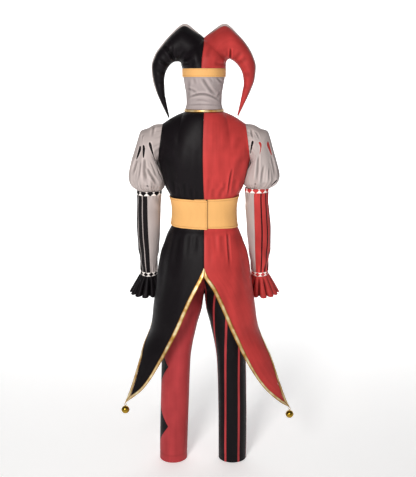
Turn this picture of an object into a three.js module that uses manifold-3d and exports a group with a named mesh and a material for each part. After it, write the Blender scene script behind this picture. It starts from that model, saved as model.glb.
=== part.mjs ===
// Jester costume, filled out as worn: horned hat, hood, tailed coat, belt, puffed sleeves, trousers.
// Millimetres. X points to the wearer's right, Y to the wearer's front and Z up.
// The origin is the middle of the coat's neck opening, where shoulders hold the costume up.
// A drop is a distance below the origin, and a turn runs round the body from the middle of the back.
import * as THREE from "three";
import Module from "manifold-3d";

const wasm = await Module();
wasm.setup();

// Driving sizes
const clothWall = 1.5;
const trimWall = 1.8;
const beltWall = 2.5;
const seamGap = 0.36;
const layerGap = 0.8;
const waistDrop = 395;
const underarmDrop = 195;
const ventDrop = 862;
const goldTrimWidth = 15;
const outerTrimWidth = 12;
const neckHalfWidth = 76;
const neckHalfDepth = 74;
const neckTrimHeight = 10;
const neckTrimLift = 1;
const beltTopDrop = 333;
const beltBottomDrop = 453;
const trouserTopDrop = 432;
const frontApexDrop = 600;
const hatBandBottom = 127;
const hatBandTop = 158;
const headMiddle = 5;
const bellRadius = 16;

const quarter = Math.PI / 2;
const degree = Math.PI / 180;

// Finishes
const finish = (name, color, roughness, metalness = 0) =>
  new THREE.MeshStandardMaterial({ name, color, roughness, metalness, side: THREE.DoubleSide });
const blackSatin = finish("black_satin", "#1d191d", 0.55);
const redSatin = finish("red_satin", "#a8322f", 0.55);
const greyCloth = finish("grey_cloth", "#b9aeac", 0.7);
const ochreCloth = finish("ochre_cloth", "#e0a858", 0.6);
const goldFoil = finish("gold_foil", "#c9a24a", 0.3, 0.8);
const diamondTape = finish("diamond_tape", "#e6d3cb", 0.7);
const brass = finish("bell_brass", "#a88a2c", 0.25, 1);

const costume = new THREE.Group();

function addPiece(name, geometry, material) {
  const piece = new THREE.Mesh(geometry, material);
  piece.name = name;
  costume.add(piece);
  return piece;
}

const mix = (a, b, t) => a + (b - a) * t;
const clamp01 = (t) => Math.min(1, Math.max(0, t));
const bump = (t) => (Math.abs(t) < 1 ? Math.cos(t * quarter) ** 2 : 0);

// The rows of a table, from its column names and its lines of numbers.
const table = (names, lines) =>
  lines.map((line) => Object.fromEntries(names.map((name, i) => [name, line[i]])));

// A smooth line through one column of a table, without swinging past its rows.
function column(rows, key, name) {
  const at = rows.map((row) => row[key]);
  const value = rows.map((row) => row[name]);
  const last = at.length - 1;
  const slope = at.slice(1).map((x, i) => (value[i + 1] - value[i]) / (x - at[i]));
  const tangent = value.map((_, i) => {
    if (i === 0) return slope[0];
    if (i === last) return slope[last - 1];
    const product = slope[i - 1] * slope[i];
    return product <= 0 ? 0 : (2 * product) / (slope[i - 1] + slope[i]);
  });
  return (x) => {
    const inside = Math.min(Math.max(x, at[0]), at[last]);
    const found = at.findIndex((edge, i) => i > 0 && inside <= edge);
    const i = Math.max(found, 1) - 1;
    const span = at[i + 1] - at[i];
    const t = (inside - at[i]) / span;
    const rise = t * t * (3 - 2 * t);
    const lean = span * (t * (1 - t) ** 2 * tangent[i] - t * t * (1 - t) * tangent[i + 1]);
    return mix(value[i], value[i + 1], rise) + lean;
  };
}

// All the columns of a table, as lines along its key.
function columns(rows, key) {
  const names = Object.keys(rows[0]).filter((name) => name !== key);
  return Object.fromEntries(names.map((name) => [name, column(rows, key, name)]));
}

// Evenly spaced steps from 0 to 1.
const steps = (count) => Array.from({ length: count + 1 }, (_, i) => i / count);

// The way out of the cloth at a point of a shape, away from the heart that the cloth wraps.
function outwards(shape, heart, u, v) {
  const small = 1e-3;
  const across = shape(u + small, v).sub(shape(u - small, v));
  const along = shape(u, v + small).sub(shape(u, v - small));
  const way = across.cross(along).normalize();
  return way.dot(shape(u, v).sub(heart(u, v))) < 0 ? way.negate() : way;
}

// A wall of cloth on shape(u, v), its outer face. across and up list the steps of u and v.
function clothWallOn(shape, heart, across, up, { thickness = clothWall, ring = false } = {}) {
  const wide = ring ? across.slice(0, -1) : across;
  const positions = [];
  for (const layer of [0, thickness]) {
    for (const v of up) {
      for (const u of wide) {
        const way = outwards(shape, heart, u, v);
        positions.push(...shape(u, v).addScaledVector(way, -layer));
      }
    }
  }
  const count = wide.length;
  const sheet = count * up.length;
  const corners = [];
  const quad = (a, b, c, d) => corners.push(a, b, c, a, c, d);
  const next = (i) => (i + 1) % count;
  const spans = ring ? count : count - 1;
  for (let row = 0; row < up.length - 1; row += 1) {
    for (let i = 0; i < spans; i += 1) {
      const low = row * count;
      const high = low + count;
      quad(low + i, low + next(i), high + next(i), high + i);
      quad(sheet + low + i, sheet + high + i, sheet + high + next(i), sheet + low + next(i));
    }
  }
  const top = (up.length - 1) * count;
  for (let i = 0; i < spans; i += 1) {
    quad(sheet + i, sheet + next(i), next(i), i);
    quad(top + i, top + next(i), sheet + top + next(i), sheet + top + i);
  }
  if (!ring) {
    for (let row = 0; row < up.length - 1; row += 1) {
      const low = row * count;
      const high = low + count;
      quad(sheet + low, low, high, sheet + high);
      quad(low + count - 1, sheet + low + count - 1, sheet + high + count - 1, high + count - 1);
    }
  }
  const geometry = new THREE.BufferGeometry();
  geometry.setAttribute("position", new THREE.Float32BufferAttribute(positions, 3));
  geometry.setIndex(corners);
  if (signedVolume(geometry) < 0) {
    corners.reverse();
    geometry.setIndex(corners);
  }
  geometry.computeVertexNormals();
  return geometry;
}

function signedVolume(geometry) {
  const at = geometry.getAttribute("position");
  const index = geometry.getIndex();
  const corner = (i) => new THREE.Vector3().fromBufferAttribute(at, index.getX(i));
  let total = 0;
  for (let i = 0; i < index.count; i += 3) {
    total += corner(i).dot(corner(i + 1).cross(corner(i + 2)));
  }
  return total / 6;
}

// Coat: its form round the body, by drop. square fills the corners out between back and side.
const coatForm = columns(
  [
    { drop: 195, halfWidth: 178, back: 122, front: 116, middle: 0, square: 0.05 },
    { drop: 245, halfWidth: 165, back: 117, front: 116, middle: 0, square: 0.05 },
    { drop: 292, halfWidth: 153, back: 110, front: 110, middle: 0, square: 0.05 },
    { drop: 320, halfWidth: 139, back: 103, front: 103, middle: 0, square: 0.05 },
    { drop: 336, halfWidth: 131, back: 99, front: 99, middle: 0, square: 0.05 },
    { drop: 392, halfWidth: 126, back: 96, front: 95, middle: 0, square: 0.05 },
    { drop: 450, halfWidth: 130, back: 100, front: 98, middle: 0, square: 0.05 },
    { drop: 466, halfWidth: 138, back: 108, front: 103, middle: -0.8, square: 0.04 },
    { drop: 518, halfWidth: 158, back: 124, front: 113, middle: -3.3, square: 0.02 },
    { drop: 553, halfWidth: 171, back: 133, front: 121, middle: -5, square: 0 },
    { drop: 616, halfWidth: 183, back: 144, front: 131, middle: -8, square: 0 },
    { drop: 700, halfWidth: 194, back: 153, front: 138, middle: -12.1, square: 0 },
    { drop: 775, halfWidth: 205, back: 159, front: 142, middle: -15.8, square: 0 },
    { drop: 862, halfWidth: 217, back: 165, front: 146, middle: -20, square: 0 },
    { drop: 979, halfWidth: 280, back: 173, front: 146, middle: -20, square: 0 },
    { drop: 1090, halfWidth: 330, back: 182, front: 146, middle: -18, square: 0 },
    { drop: 1200, halfWidth: 384, back: 190, front: 146, middle: -16, square: 0 },
  ],
  "drop",
);

// Largest folds of the coat, by turn from the middle of the back in degrees.
const coatFolds = [
  { turn: 44, from: 215, to: 338, spread: 12, depth: 5 },
  { turn: 22, from: 260, to: 336, spread: 9, depth: 3 },
  { turn: 68, from: 250, to: 336, spread: 10, depth: 3 },
  { turn: 40, from: 450, to: 640, spread: 13, depth: 7 },
  { turn: 16, from: 450, to: 560, spread: 10, depth: 4 },
  { turn: 66, from: 452, to: 760, spread: 14, depth: 6 },
  { turn: 118, from: 452, to: 740, spread: 15, depth: 6 },
  { turn: 146, from: 452, to: 620, spread: 12, depth: 5 },
  { turn: 132, from: 245, to: 338, spread: 12, depth: 4 },
];

function foldDepth(turn, drop) {
  const near = (fold) => bump((turn / degree - fold.turn) / fold.spread);
  const along = (fold) => Math.sin(Math.PI * clamp01((drop - fold.from) / (fold.to - fold.from)));
  return coatFolds.reduce((sum, fold) => sum + fold.depth * near(fold) * along(fold), 0);
}

// A point of the coat on the wearer's right; the left side mirrors it.
function coatPoint(turn, drop, lift = 0) {
  const backwards = Math.cos(turn) >= 0;
  const depth = backwards ? coatForm.back(drop) : coatForm.front(drop);
  const fill = 1 + coatForm.square(drop) * Math.sin(2 * turn) ** 2;
  const out = lift - foldDepth(turn, drop);
  const x = (coatForm.halfWidth(drop) * fill + out) * Math.sin(turn);
  const y = coatForm.middle(drop) - (depth * fill + out) * Math.cos(turn);
  return new THREE.Vector3(x, y, -drop);
}

const bodyHeart = (drop) => new THREE.Vector3(0, coatForm.middle(drop), -drop);

const mirrored = (point, side) => new THREE.Vector3(point.x * side, point.y, point.z);
const moved = (point, x, y, z) => point.add(new THREE.Vector3(x, y, z));

// Armhole, the sleeve's first ring: a leaning ellipse from underarm to shoulder tip.
const armhole = {
  outerX: 160,
  outerDrop: 50,
  innerX: 178,
  innerDrop: underarmDrop,
  back: 58,
  front: 52,
  middle: 0,
};

// A point of a section that bulges back or front between its outer and its inner edge.
// turn is 0 at the outer edge and 1 at the inner one, which may itself stand off by seam.
function sectionPoint(section, way, turn) {
  const depth = way < 0 ? section.back : section.front;
  const seam = (way < 0 ? section.seamBack : section.seamFront) ?? 0;
  const closing = Math.PI - Math.asin(clamp01(seam / depth));
  const edge = new THREE.Vector2(section.outerX - section.innerX, section.innerDrop - section.outerDrop);
  const reach = edge.length() / (1 - Math.cos(closing));
  const lean = edge.normalize();
  const angle = turn * closing;
  const inwards = reach * (1 - Math.cos(angle));
  return new THREE.Vector3(
    section.outerX - lean.x * inwards,
    section.middle + way * depth * Math.sin(angle),
    -section.outerDrop - lean.y * inwards,
  );
}

function sectionHeart(section) {
  const x = (section.outerX + section.innerX) / 2;
  return new THREE.Vector3(x, section.middle, -(section.outerDrop + section.innerDrop) / 2);
}

const sectionAt = (form, along) =>
  Object.fromEntries(Object.entries(form).map(([name, line]) => [name, line(along)]));

// Neck edge of the coat: level at the back and dipping at the throat.
function neckEdge(turn) {
  const dip = 36 * clamp01(-Math.cos(turn)) ** 1.5;
  return new THREE.Vector3(neckHalfWidth * Math.sin(turn), -neckHalfDepth * Math.cos(turn), -5 - dip);
}

// Bodice: level 0 is the waist, 1 the underarm and 2 the shoulder and neck.
const neckShare = 0.4;

function bodiceTop(u, way) {
  if (u <= neckShare) {
    const turn = (u / neckShare) * quarter;
    return neckEdge(way < 0 ? turn : Math.PI - turn);
  }
  const t = (u - neckShare) / (1 - neckShare);
  const side = neckEdge(quarter);
  const rise = 4 * Math.sin(Math.PI * t);
  return new THREE.Vector3(mix(side.x, armhole.outerX, t), 0, mix(side.z, -armhole.outerDrop, t) + rise);
}

function bodicePoint(u, level, way) {
  const across = clamp01(u);
  const turn = way < 0 ? across * quarter : Math.PI - across * quarter;
  if (level <= 1) return coatPoint(turn, mix(waistDrop, underarmDrop, level));
  const w = Math.min(level - 1, 1);
  const bottom = coatPoint(turn, underarmDrop);
  const top = bodiceTop(across, way);
  const climb = Math.sin(w * quarter);
  const lean = 1 - Math.cos(w * quarter);
  const dome = new THREE.Vector3(
    mix(bottom.x, top.x, w),
    mix(bottom.y, top.y, lean),
    mix(bottom.z, top.z, climb),
  );
  const sideBottom = coatPoint(quarter, underarmDrop);
  const sideTop = bodiceTop(1, way);
  const side = new THREE.Vector3(
    mix(sideBottom.x, sideTop.x, w),
    mix(sideBottom.y, sideTop.y, lean),
    mix(sideBottom.z, sideTop.z, climb),
  );
  const arm = sectionPoint(armhole, way, 1 - w);
  return dome.addScaledVector(arm.sub(side), across ** 2.5);
}

const levelOf = (drop) => (waistDrop - drop) / (waistDrop - underarmDrop);
const bodiceLevels = [
  ...[waistDrop - seamGap, beltTopDrop, 320, 292, 245].map(levelOf),
  ...[1, 1.16, 1.33, 1.5, 1.68, 1.85, 2],
];

function addBodice(name, side, way, material) {
  const shape = (u, level) =>
    moved(mirrored(bodicePoint(u, level, way), side), (side * seamGap) / 2, (way * seamGap) / 2, 0);
  const heart = (u, level) => {
    const drop = level <= 1 ? mix(waistDrop, underarmDrop, level) : underarmDrop;
    return new THREE.Vector3(0, 0, -drop);
  };
  addPiece(name, clothWallOn(shape, heart, steps(10), bodiceLevels), material);
}

// Tails: free is the inner edge of the cloth from the middle, and outerTurn the outer edge in degrees.
const tails = {
  left: {
    side: -1,
    tipDrop: 1162,
    form: columns(
      [
        { drop: 570, free: -25, outerTurn: 90 },
        { drop: 627, free: 2, outerTurn: 90 },
        { drop: 721, free: 50, outerTurn: 90 },
        { drop: 862, free: 111, outerTurn: 90 },
        { drop: 983, free: 176, outerTurn: 67.5 },
        { drop: 1089, free: 243, outerTurn: 63 },
        { drop: 1162, free: 319, outerTurn: 61.4 },
      ],
      "drop",
    ),
  },
  right: {
    side: 1,
    tipDrop: 1189,
    form: columns(
      [
        { drop: 570, free: -26, outerTurn: 90 },
        { drop: 627, free: 0, outerTurn: 90 },
        { drop: 677, free: 33, outerTurn: 90 },
        { drop: 862, free: 114, outerTurn: 90 },
        { drop: 953, free: 157, outerTurn: 77 },
        { drop: 1076, free: 231, outerTurn: 70 },
        { drop: 1155, free: 305, outerTurn: 67 },
        { drop: 1189, free: 348, outerTurn: 66.8 },
      ],
      "drop",
    ),
  },
};

// The turns of a tail's edges at a drop: free cloth edge, inner trim line, outer trim line, outer edge.
function tailEdges(tail, drop) {
  const reach = coatForm.halfWidth(drop);
  const turnOf = (x) => Math.asin(clamp01(x / reach));
  const free = tail.form.free(drop);
  const slope = (tail.form.free(drop + 4) - tail.form.free(drop - 4)) / 8;
  const run = goldTrimWidth * Math.sqrt(1 + slope * slope);
  const outer = Math.min(tail.form.outerTurn(drop) * degree, quarter);
  const trimShare = clamp01((drop - ventDrop + 12) / 30);
  const inner = turnOf(free);
  const mitre = mix(inner, outer, 0.6);
  const outerLine = outer - (outerTrimWidth * trimShare) / coatForm.back(drop);
  return {
    free: inner,
    innerLine: Math.min(turnOf(free + run), mitre),
    outerLine: Math.max(outerLine, mitre),
    outer,
  };
}

const clothTipDrop = (tail) => tail.tipDrop - 34;

function addTail(tail, material, name) {
  const { side } = tail;
  const between = (from, to, first, last, lift) => (u, v) => {
    const drop = mix(first, last, v);
    const edges = tailEdges(tail, drop);
    const turn = mix(edges[from], edges[to], u);
    return moved(mirrored(coatPoint(turn, drop, lift), side), (side * seamGap) / 2, -seamGap / 2, 0);
  };
  const heart = (first, last) => (u, v) => bodyHeart(mix(first, last, v));
  const first = waistDrop + seamGap;
  const last = clothTipDrop(tail);
  const free = [0.2, 0.4, 0.6, 0.8, 1].map((share) => mix(ventDrop, last, share));
  const drops = [first, beltBottomDrop, 470, 510, 553, 590, 627, 677, 740, 800, ventDrop, ...free];
  const cloth = between("innerLine", "outerLine", first, last, 0);
  const toShare = (drop) => (drop - first) / (last - first);
  const tailCloth = clothWallOn(cloth, heart(first, last), steps(10), drops.map(toShare));
  addPiece(`coat_tail_${name}`, tailCloth, material);

  const tip = tail.tipDrop;
  const innerFirst = 592;
  const innerDrops = [innerFirst, 627, 677, 740, 800, ventDrop, ...free, tip];
  const inner = narrowed(between("free", "innerLine", innerFirst, tip, 0.7), 0, 0.03);
  const innerSteps = innerDrops.map((drop) => (drop - innerFirst) / (tip - innerFirst));
  const tape = { thickness: trimWall };
  const innerTape = clothWallOn(inner, heart(innerFirst, tip), steps(1), innerSteps, tape);
  addPiece(`tail_trim_${name}_inner`, innerTape, goldFoil);

  const outerFirst = ventDrop - 4;
  const outerDrops = [outerFirst, ventDrop, ...free, tip];
  const outer = narrowed(between("outerLine", "outer", outerFirst, tip, 0.7), 0.04, 0);
  const outerSteps = outerDrops.map((drop) => (drop - outerFirst) / (tip - outerFirst));
  const outerTape = clothWallOn(outer, heart(outerFirst, tip), steps(1), outerSteps, tape);
  addPiece(`tail_trim_${name}_outer`, outerTape, goldFoil);
}

// The same shape with a share of its width left out at either edge, as a seam gap.
const narrowed = (shape, before, after) => (u, v) => shape(mix(before, 1 - after, u), v);

// Front skirt: a cutaway hem that climbs from the side vents to the middle of the front.
function frontHem(turn) {
  const share = clamp01((Math.PI - turn) / quarter);
  return frontApexDrop + (ventDrop - frontApexDrop) * share ** 0.85;
}

function addFrontSkirt(name, side, material) {
  const place = (turn, drop, lift) =>
    moved(mirrored(coatPoint(turn, drop, lift), side), (side * seamGap) / 2, seamGap / 2, 0);
  const trimDrop = (turn) => frontHem(turn) - goldTrimWidth * 1.15;
  const first = waistDrop + seamGap;
  const underBelt = 470;
  const cloth = (u, v) => {
    const turn = Math.PI - u * quarter;
    const level = v <= 0 ? mix(underBelt, first, -v) : mix(underBelt, trimDrop(turn) - seamGap, v);
    return place(turn, level, 0);
  };
  const hem = (u, v) => {
    const turn = Math.PI - u * quarter;
    return place(turn, mix(trimDrop(turn), frontHem(turn), v), 0.7);
  };
  const heartOf = (shape) => (u, v) => bodyHeart(-shape(u, v).z);
  const beltRow = (beltBottomDrop - underBelt) / (underBelt - first);
  const rows = [-1, beltRow, 0, 0.2, 0.4, 0.6, 0.8, 1];
  addPiece(`coat_front_skirt_${name}`, clothWallOn(cloth, heartOf(cloth), steps(10), rows), material);
  const trim = clothWallOn(hem, heartOf(hem), steps(10), steps(1), { thickness: trimWall });
  addPiece(`front_trim_${name}`, trim, goldFoil);
}

addBodice("coat_back_left", -1, -1, blackSatin);
addBodice("coat_back_right", 1, -1, redSatin);
addBodice("coat_front_left", -1, 1, blackSatin);
addBodice("coat_front_right", 1, 1, redSatin);
addTail(tails.left, blackSatin, "left");
addTail(tails.right, redSatin, "right");
addFrontSkirt("left", -1, blackSatin);
addFrontSkirt("right", 1, redSatin);

// Neck trim: a gold tape standing on the neck edge.
function addNeckTrim() {
  const shape = (u, v) => {
    const edge = neckEdge(u * 2 * Math.PI);
    const lean = 1 - 0.012 * v;
    return new THREE.Vector3(edge.x * lean, edge.y * lean, edge.z + neckTrimLift + v * neckTrimHeight);
  };
  const heart = (u, v) => new THREE.Vector3(0, 0, shape(u, v).z);
  addPiece("neck_trim", clothWallOn(shape, heart, steps(24), steps(1), { ring: true }), goldFoil);
}
addNeckTrim();

// Belt: one band round the waist, its left end lapped over its right end behind.
const beltLap = { outerEnd: 5, innerEnd: -16, liftedFor: 70, sag: 4 };
const beltBackRise = 7;

function addBelt() {
  const start = beltLap.innerEnd;
  const end = 360 + beltLap.outerEnd;
  const inPlace = beltWall + layerGap + 0.6;
  const shape = (u, v) => {
    const turn = mix(start, end, u) * degree;
    const climbed = clamp01((turn / degree - (360 - beltLap.liftedFor)) / (beltLap.liftedFor - 20));
    const lift = inPlace + (beltWall + layerGap) * climbed;
    const sag = beltLap.sag * clamp01((turn / degree - 330) / 36);
    const bottom = beltBottomDrop - beltBackRise * clamp01(Math.cos(turn)) ** 2;
    return coatPoint(turn, mix(bottom, beltTopDrop, v) + sag, lift);
  };
  const heart = (u, v) => bodyHeart(mix(beltBottomDrop, beltTopDrop, v));
  const turns = [start, ...Array.from({ length: 40 }, (_, i) => -9 + i * 9), 356, end];
  const across = turns.map((turn) => (turn - start) / (end - start));
  const up = [0, 0.483, 1];
  addPiece("belt", clothWallOn(shape, heart, across, up, { thickness: beltWall }), ochreCloth);
}
addBelt();

// Sleeves: puff sections run from the armhole to the elbow band.
const puffForm = columns(
  table(
    ["along", "outerX", "outerDrop", "innerX", "innerDrop", "back", "front", "middle"],
    [
      [0, 160, 50, 178, 195, 58, 52, 0],
      [0.12, 192, 56, 181, 203, 66, 62, 2],
      [0.24, 220, 69, 182, 212, 72, 69, 4],
      [0.35, 246, 79, 180, 222, 76, 73, 6],
      [0.46, 257, 105, 176, 235, 79, 76, 8],
      [0.61, 272, 155, 170, 252, 82, 79, 10],
      [0.75, 287, 207, 165, 269, 84, 81, 12],
      [0.87, 297, 260, 162, 286, 81, 79, 13],
      [0.95, 288, 294, 164, 300, 66, 65, 14],
      [1, 260.5, 314, 170, 314, 45, 44, 15],
    ],
  ),
  "along",
);
const puffGathers = { count: 10, depthAtBand: 5, depthAtArmhole: 2.2 };

// A point of a ring section, turned from the outside over the back, the inside and the front.
function ringPoint(section, turn) {
  const whole = ((turn % 1) + 1) % 1;
  if (whole <= 0.5) return sectionPoint(section, -1, whole * 2);
  return sectionPoint(section, 1, 2 - whole * 2);
}

function gathered(section, turn, amount) {
  const point = ringPoint(section, turn);
  const heart = sectionHeart(section);
  const inwards = point.clone().sub(heart).normalize();
  return point.addScaledVector(inwards, amount);
}

function puffPoint(turn, along) {
  const section = sectionAt(puffForm, clamp01(along));
  const atBand = clamp01((along - 0.5) / 0.42) ** 1.5 * (1 - 0.75 * clamp01((along - 0.93) / 0.07));
  const atArmhole = bump((along - 0.1) / 0.14);
  const depth = puffGathers.depthAtBand * atBand + puffGathers.depthAtArmhole * atArmhole;
  const towardsBody = clamp01(-Math.cos(turn * 2 * Math.PI));
  const wave = Math.cos(puffGathers.count * turn * 2 * Math.PI + 0.6) - 0.35;
  return gathered(section, turn, depth * wave * (1 - 0.85 * towardsBody));
}

// Each sleeve: how much higher than the other its elbow band sits, and where the forearm's back seam
// runs at the elbow and at the wrist, in turns from the outside.
const sleeves = {
  left: { side: -1, elbowRise: 0, seamAtElbow: 0.235, seamAtWrist: 0.285 },
  right: { side: 1, elbowRise: 11, seamAtElbow: 0.297, seamAtWrist: 0.337 },
};

// Forearm of the sleeve: middle of the tube, its half width and depth by drop.
const elbowBandDrop = 313;
const elbowBandEnd = 330;
const wristBandDrop = 653;
const wristBandEnd = 670;
const cuffDrop = 751;
const forearmForm = columns(
  [
    { drop: 300, middleX: 215, half: 46, middleY: 15 },
    { drop: 314, middleX: 215, half: 46, middleY: 15 },
    { drop: 335, middleX: 215.5, half: 45, middleY: 16 },
    { drop: 400, middleX: 219.5, half: 45.5, middleY: 27 },
    { drop: 480, middleX: 224, half: 45, middleY: 42 },
    { drop: 560, middleX: 227, half: 41.5, middleY: 60 },
    { drop: 620, middleX: 229, half: 37, middleY: 76 },
    { drop: 652, middleX: 229.5, half: 34.5, middleY: 84 },
    { drop: 672, middleX: 230, half: 35, middleY: 88 },
    { drop: 760, middleX: 233, half: 40, middleY: 100 },
  ],
  "drop",
);
const cuffForm = { flare: 37, waves: 13, waveDepth: 8, bodySide: 0.55 };

function forearmPoint(turn, drop, lift = 0) {
  const angle = turn * 2 * Math.PI;
  const half = forearmForm.half(drop) + lift;
  const x = forearmForm.middleX(drop) + half * Math.cos(angle);
  return new THREE.Vector3(x, forearmForm.middleY(drop) - half * Math.sin(angle), -drop);
}

const forearmHeart = (drop, side) =>
  new THREE.Vector3(side * forearmForm.middleX(drop), forearmForm.middleY(drop), -drop);

const frontSeamTurn = -0.25;

function cuffPoint(turn, share) {
  const drop = mix(wristBandEnd + seamGap, cuffDrop, share);
  const angle = turn * 2 * Math.PI;
  const towardsBody = clamp01(-Math.cos(angle));
  const flare = cuffForm.flare * share * (1 - cuffForm.bodySide * towardsBody);
  const wave = cuffForm.waveDepth * share * Math.cos(cuffForm.waves * angle);
  const out = 36 + flare + wave;
  const x = forearmForm.middleX(drop) + out * Math.cos(angle);
  const y = forearmForm.middleY(drop) - out * Math.sin(angle);
  const nearSide = 5 * share * Math.sin(angle);
  return new THREE.Vector3(x, y, -drop - nearSide);
}

function addSleeve(name, { side, elbowRise, seamAtElbow, seamAtWrist }, colour) {
  const rise = (v) => elbowRise * clamp01((v - 0.8) / 0.2);
  const puff = (u, v) => moved(mirrored(puffPoint(u, v), side), side * 1.2 * (1 - v), 0, rise(v));
  const puffHeart = (u, v) => mirrored(sectionHeart(sectionAt(puffForm, clamp01(v))), side);
  const puffRows = [0, 0.14, 0.29, 0.44, 0.6, 0.76, 0.9, 1];
  const puffCloth = clothWallOn(puff, puffHeart, steps(40), puffRows, { ring: true });
  addPiece(`sleeve_puff_${name}`, puffCloth, greyCloth);

  const ringOf = (shape, first, last, count) => {
    const placed = (u, v) => mirrored(shape(u, mix(first, last, v)), side);
    const heart = (u, v) => forearmHeart(mix(first, last, v), side);
    return clothWallOn(placed, heart, steps(count), steps(1), { ring: true, thickness: trimWall });
  };
  const band = (turn, drop) => forearmPoint(turn, drop, 0.7);
  const bandTop = elbowBandDrop - elbowRise;
  const bandEnd = elbowBandEnd - elbowRise;
  addPiece(`elbow_band_${name}`, ringOf(band, bandTop + seamGap + 1, bandEnd, 20), diamondTape);
  addPiece(`wrist_band_${name}`, ringOf(band, wristBandDrop, wristBandEnd, 20), diamondTape);

  const half = (from, to) => (u, v) => {
    const drop = mix(bandEnd + seamGap, wristBandDrop - seamGap, v);
    const gap = seamGap / (4 * Math.PI * forearmForm.half(drop));
    const turn = mix(from(drop) + gap, to(drop) - gap, u);
    return mirrored(forearmPoint(turn, drop), side);
  };
  const heart = (u, v) => forearmHeart(mix(bandEnd, wristBandDrop, v), side);
  const backSeam = (drop) => mix(seamAtElbow, seamAtWrist, (drop - bandEnd) / (wristBandDrop - bandEnd));
  const striped = half(() => frontSeamTurn, backSeam);
  const plain = half(backSeam, () => 1 + frontSeamTurn);
  addPiece(`forearm_striped_${name}`, clothWallOn(striped, heart, steps(10), steps(5)), colour);
  addPiece(`forearm_plain_${name}`, clothWallOn(plain, heart, steps(9), steps(5)), greyCloth);

  const cuff = (u, v) => mirrored(cuffPoint(u, v), side);
  const cuffHeart = (u, v) => forearmHeart(mix(wristBandEnd, cuffDrop, v), side);
  const cuffSteps = steps(cuffForm.waves * 6);
  addPiece(`cuff_${name}`, clothWallOn(cuff, cuffHeart, cuffSteps, steps(2), { ring: true }), colour);
}

addSleeve("left", sleeves.left, blackSatin);
addSleeve("right", sleeves.right, redSatin);

// Trousers: sections from hem to waist. Above the crotch the inner edge is the seam down the middle.
const legForm = columns(
  table(
    ["along", "outerX", "outerDrop", "innerX", "innerDrop", "back", "front", "seamBack", "seamFront"],
    [
      [0, 183, 1452, 67, 1452, 59, 58, 0, 0],
      [0.2, 180, 1225, 62, 1225, 60, 59, 0, 0],
      [0.36, 175, 1020, 55, 1020, 66, 64, 0, 0],
      [0.48, 171, 862, 28, 862, 84, 78, 0, 0],
      [0.56, 170, 765, 6, 778, 98, 87, 0, 0],
      [0.62, 170, 700, 0.5, 722, 106, 90, 12, 10],
      [0.69, 169, 645, 0.5, 690, 112, 92, 64, 48],
      [0.77, 165, 585, 0.5, 625, 116, 93, 104, 76],
      [0.86, 150, 520, 0.5, 540, 112, 93, 111.5, 90],
      [0.94, 128.5, 458, 0.5, 460, 97.5, 93.8, 97.3, 93.6],
      [1, 125.6, trouserTopDrop, 0.5, trouserTopDrop, 95.6, 93.6, 95.5, 93.5],
    ],
  ),
  "along",
);
const stanceLean = -6;
const legRows = [0, 0.2, 0.36, 0.43, 0.5, 0.56, 0.62, 0.66, 0.7, 0.77, 0.86, 0.94, 1];

function addLegPanel(name, side, way, material) {
  const section = (v) => ({ ...sectionAt(legForm, clamp01(v)), middle: 0 });
  const lean = (v) => stanceLean * (1 - clamp01(v / 0.66));
  const shape = (u, v) =>
    moved(mirrored(sectionPoint(section(v), way, u), side), lean(v), (way * seamGap) / 2, 0);
  const heart = (u, v) => moved(mirrored(sectionHeart(section(v)), side), lean(v), 0, 0);
  addPiece(name, clothWallOn(shape, heart, steps(7), legRows), material);
}

addLegPanel("trouser_back_left", -1, -1, redSatin);
addLegPanel("trouser_front_left", -1, 1, redSatin);
addLegPanel("trouser_back_right", 1, -1, blackSatin);
addLegPanel("trouser_front_right", 1, 1, blackSatin);

// Waistband of the trousers, close inside the coat.
function addWaistband() {
  const bottom = trouserTopDrop - seamGap;
  const shape = (u, v) => coatPoint(u * 2 * Math.PI, mix(bottom, 397, v), -clothWall - 0.4);
  const heart = (u, v) => bodyHeart(mix(bottom, 397, v));
  addPiece("trouser_waistband", clothWallOn(shape, heart, steps(40), steps(1), { ring: true }), blackSatin);
}
addWaistband();

// Hood: a close tube up the neck and over the back of the head, open for the face.
const hoodForm = columns(
  [
    { height: -28, halfWidth: 69, depth: 66, middle: -1 },
    { height: -5, halfWidth: 72.8, depth: 70.8, middle: 0 },
    { height: 5, halfWidth: 72.8, depth: 70.8, middle: 0 },
    { height: 26, halfWidth: 68, depth: 67, middle: 0 },
    { height: 60, halfWidth: 69, depth: 77, middle: 4 },
    { height: 95, halfWidth: 75, depth: 91, middle: 6 },
    { height: 127, halfWidth: 80.3, depth: 97, middle: headMiddle },
    { height: 150, halfWidth: 82.25, depth: 99.05, middle: headMiddle },
  ],
  "height",
);
const hoodTop = 145;
const faceOpening = { chin: 58, share: 0.62 };

function hoodPoint(turn, height, lift = 0) {
  const x = (hoodForm.halfWidth(height) + lift) * Math.sin(turn);
  const y = hoodForm.middle(height) - (hoodForm.depth(height) + lift) * Math.cos(turn);
  return new THREE.Vector3(x, y, height);
}

// Top edge of the hood: level behind and at the temples, and down to the chin in front.
function hoodEdge(turn) {
  const fromFront = Math.abs(turn - Math.PI) / (quarter * faceOpening.share);
  if (fromFront >= 1) return hoodTop;
  return mix(faceOpening.chin, hoodTop, clamp01(fromFront ** 2.6));
}

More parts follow.
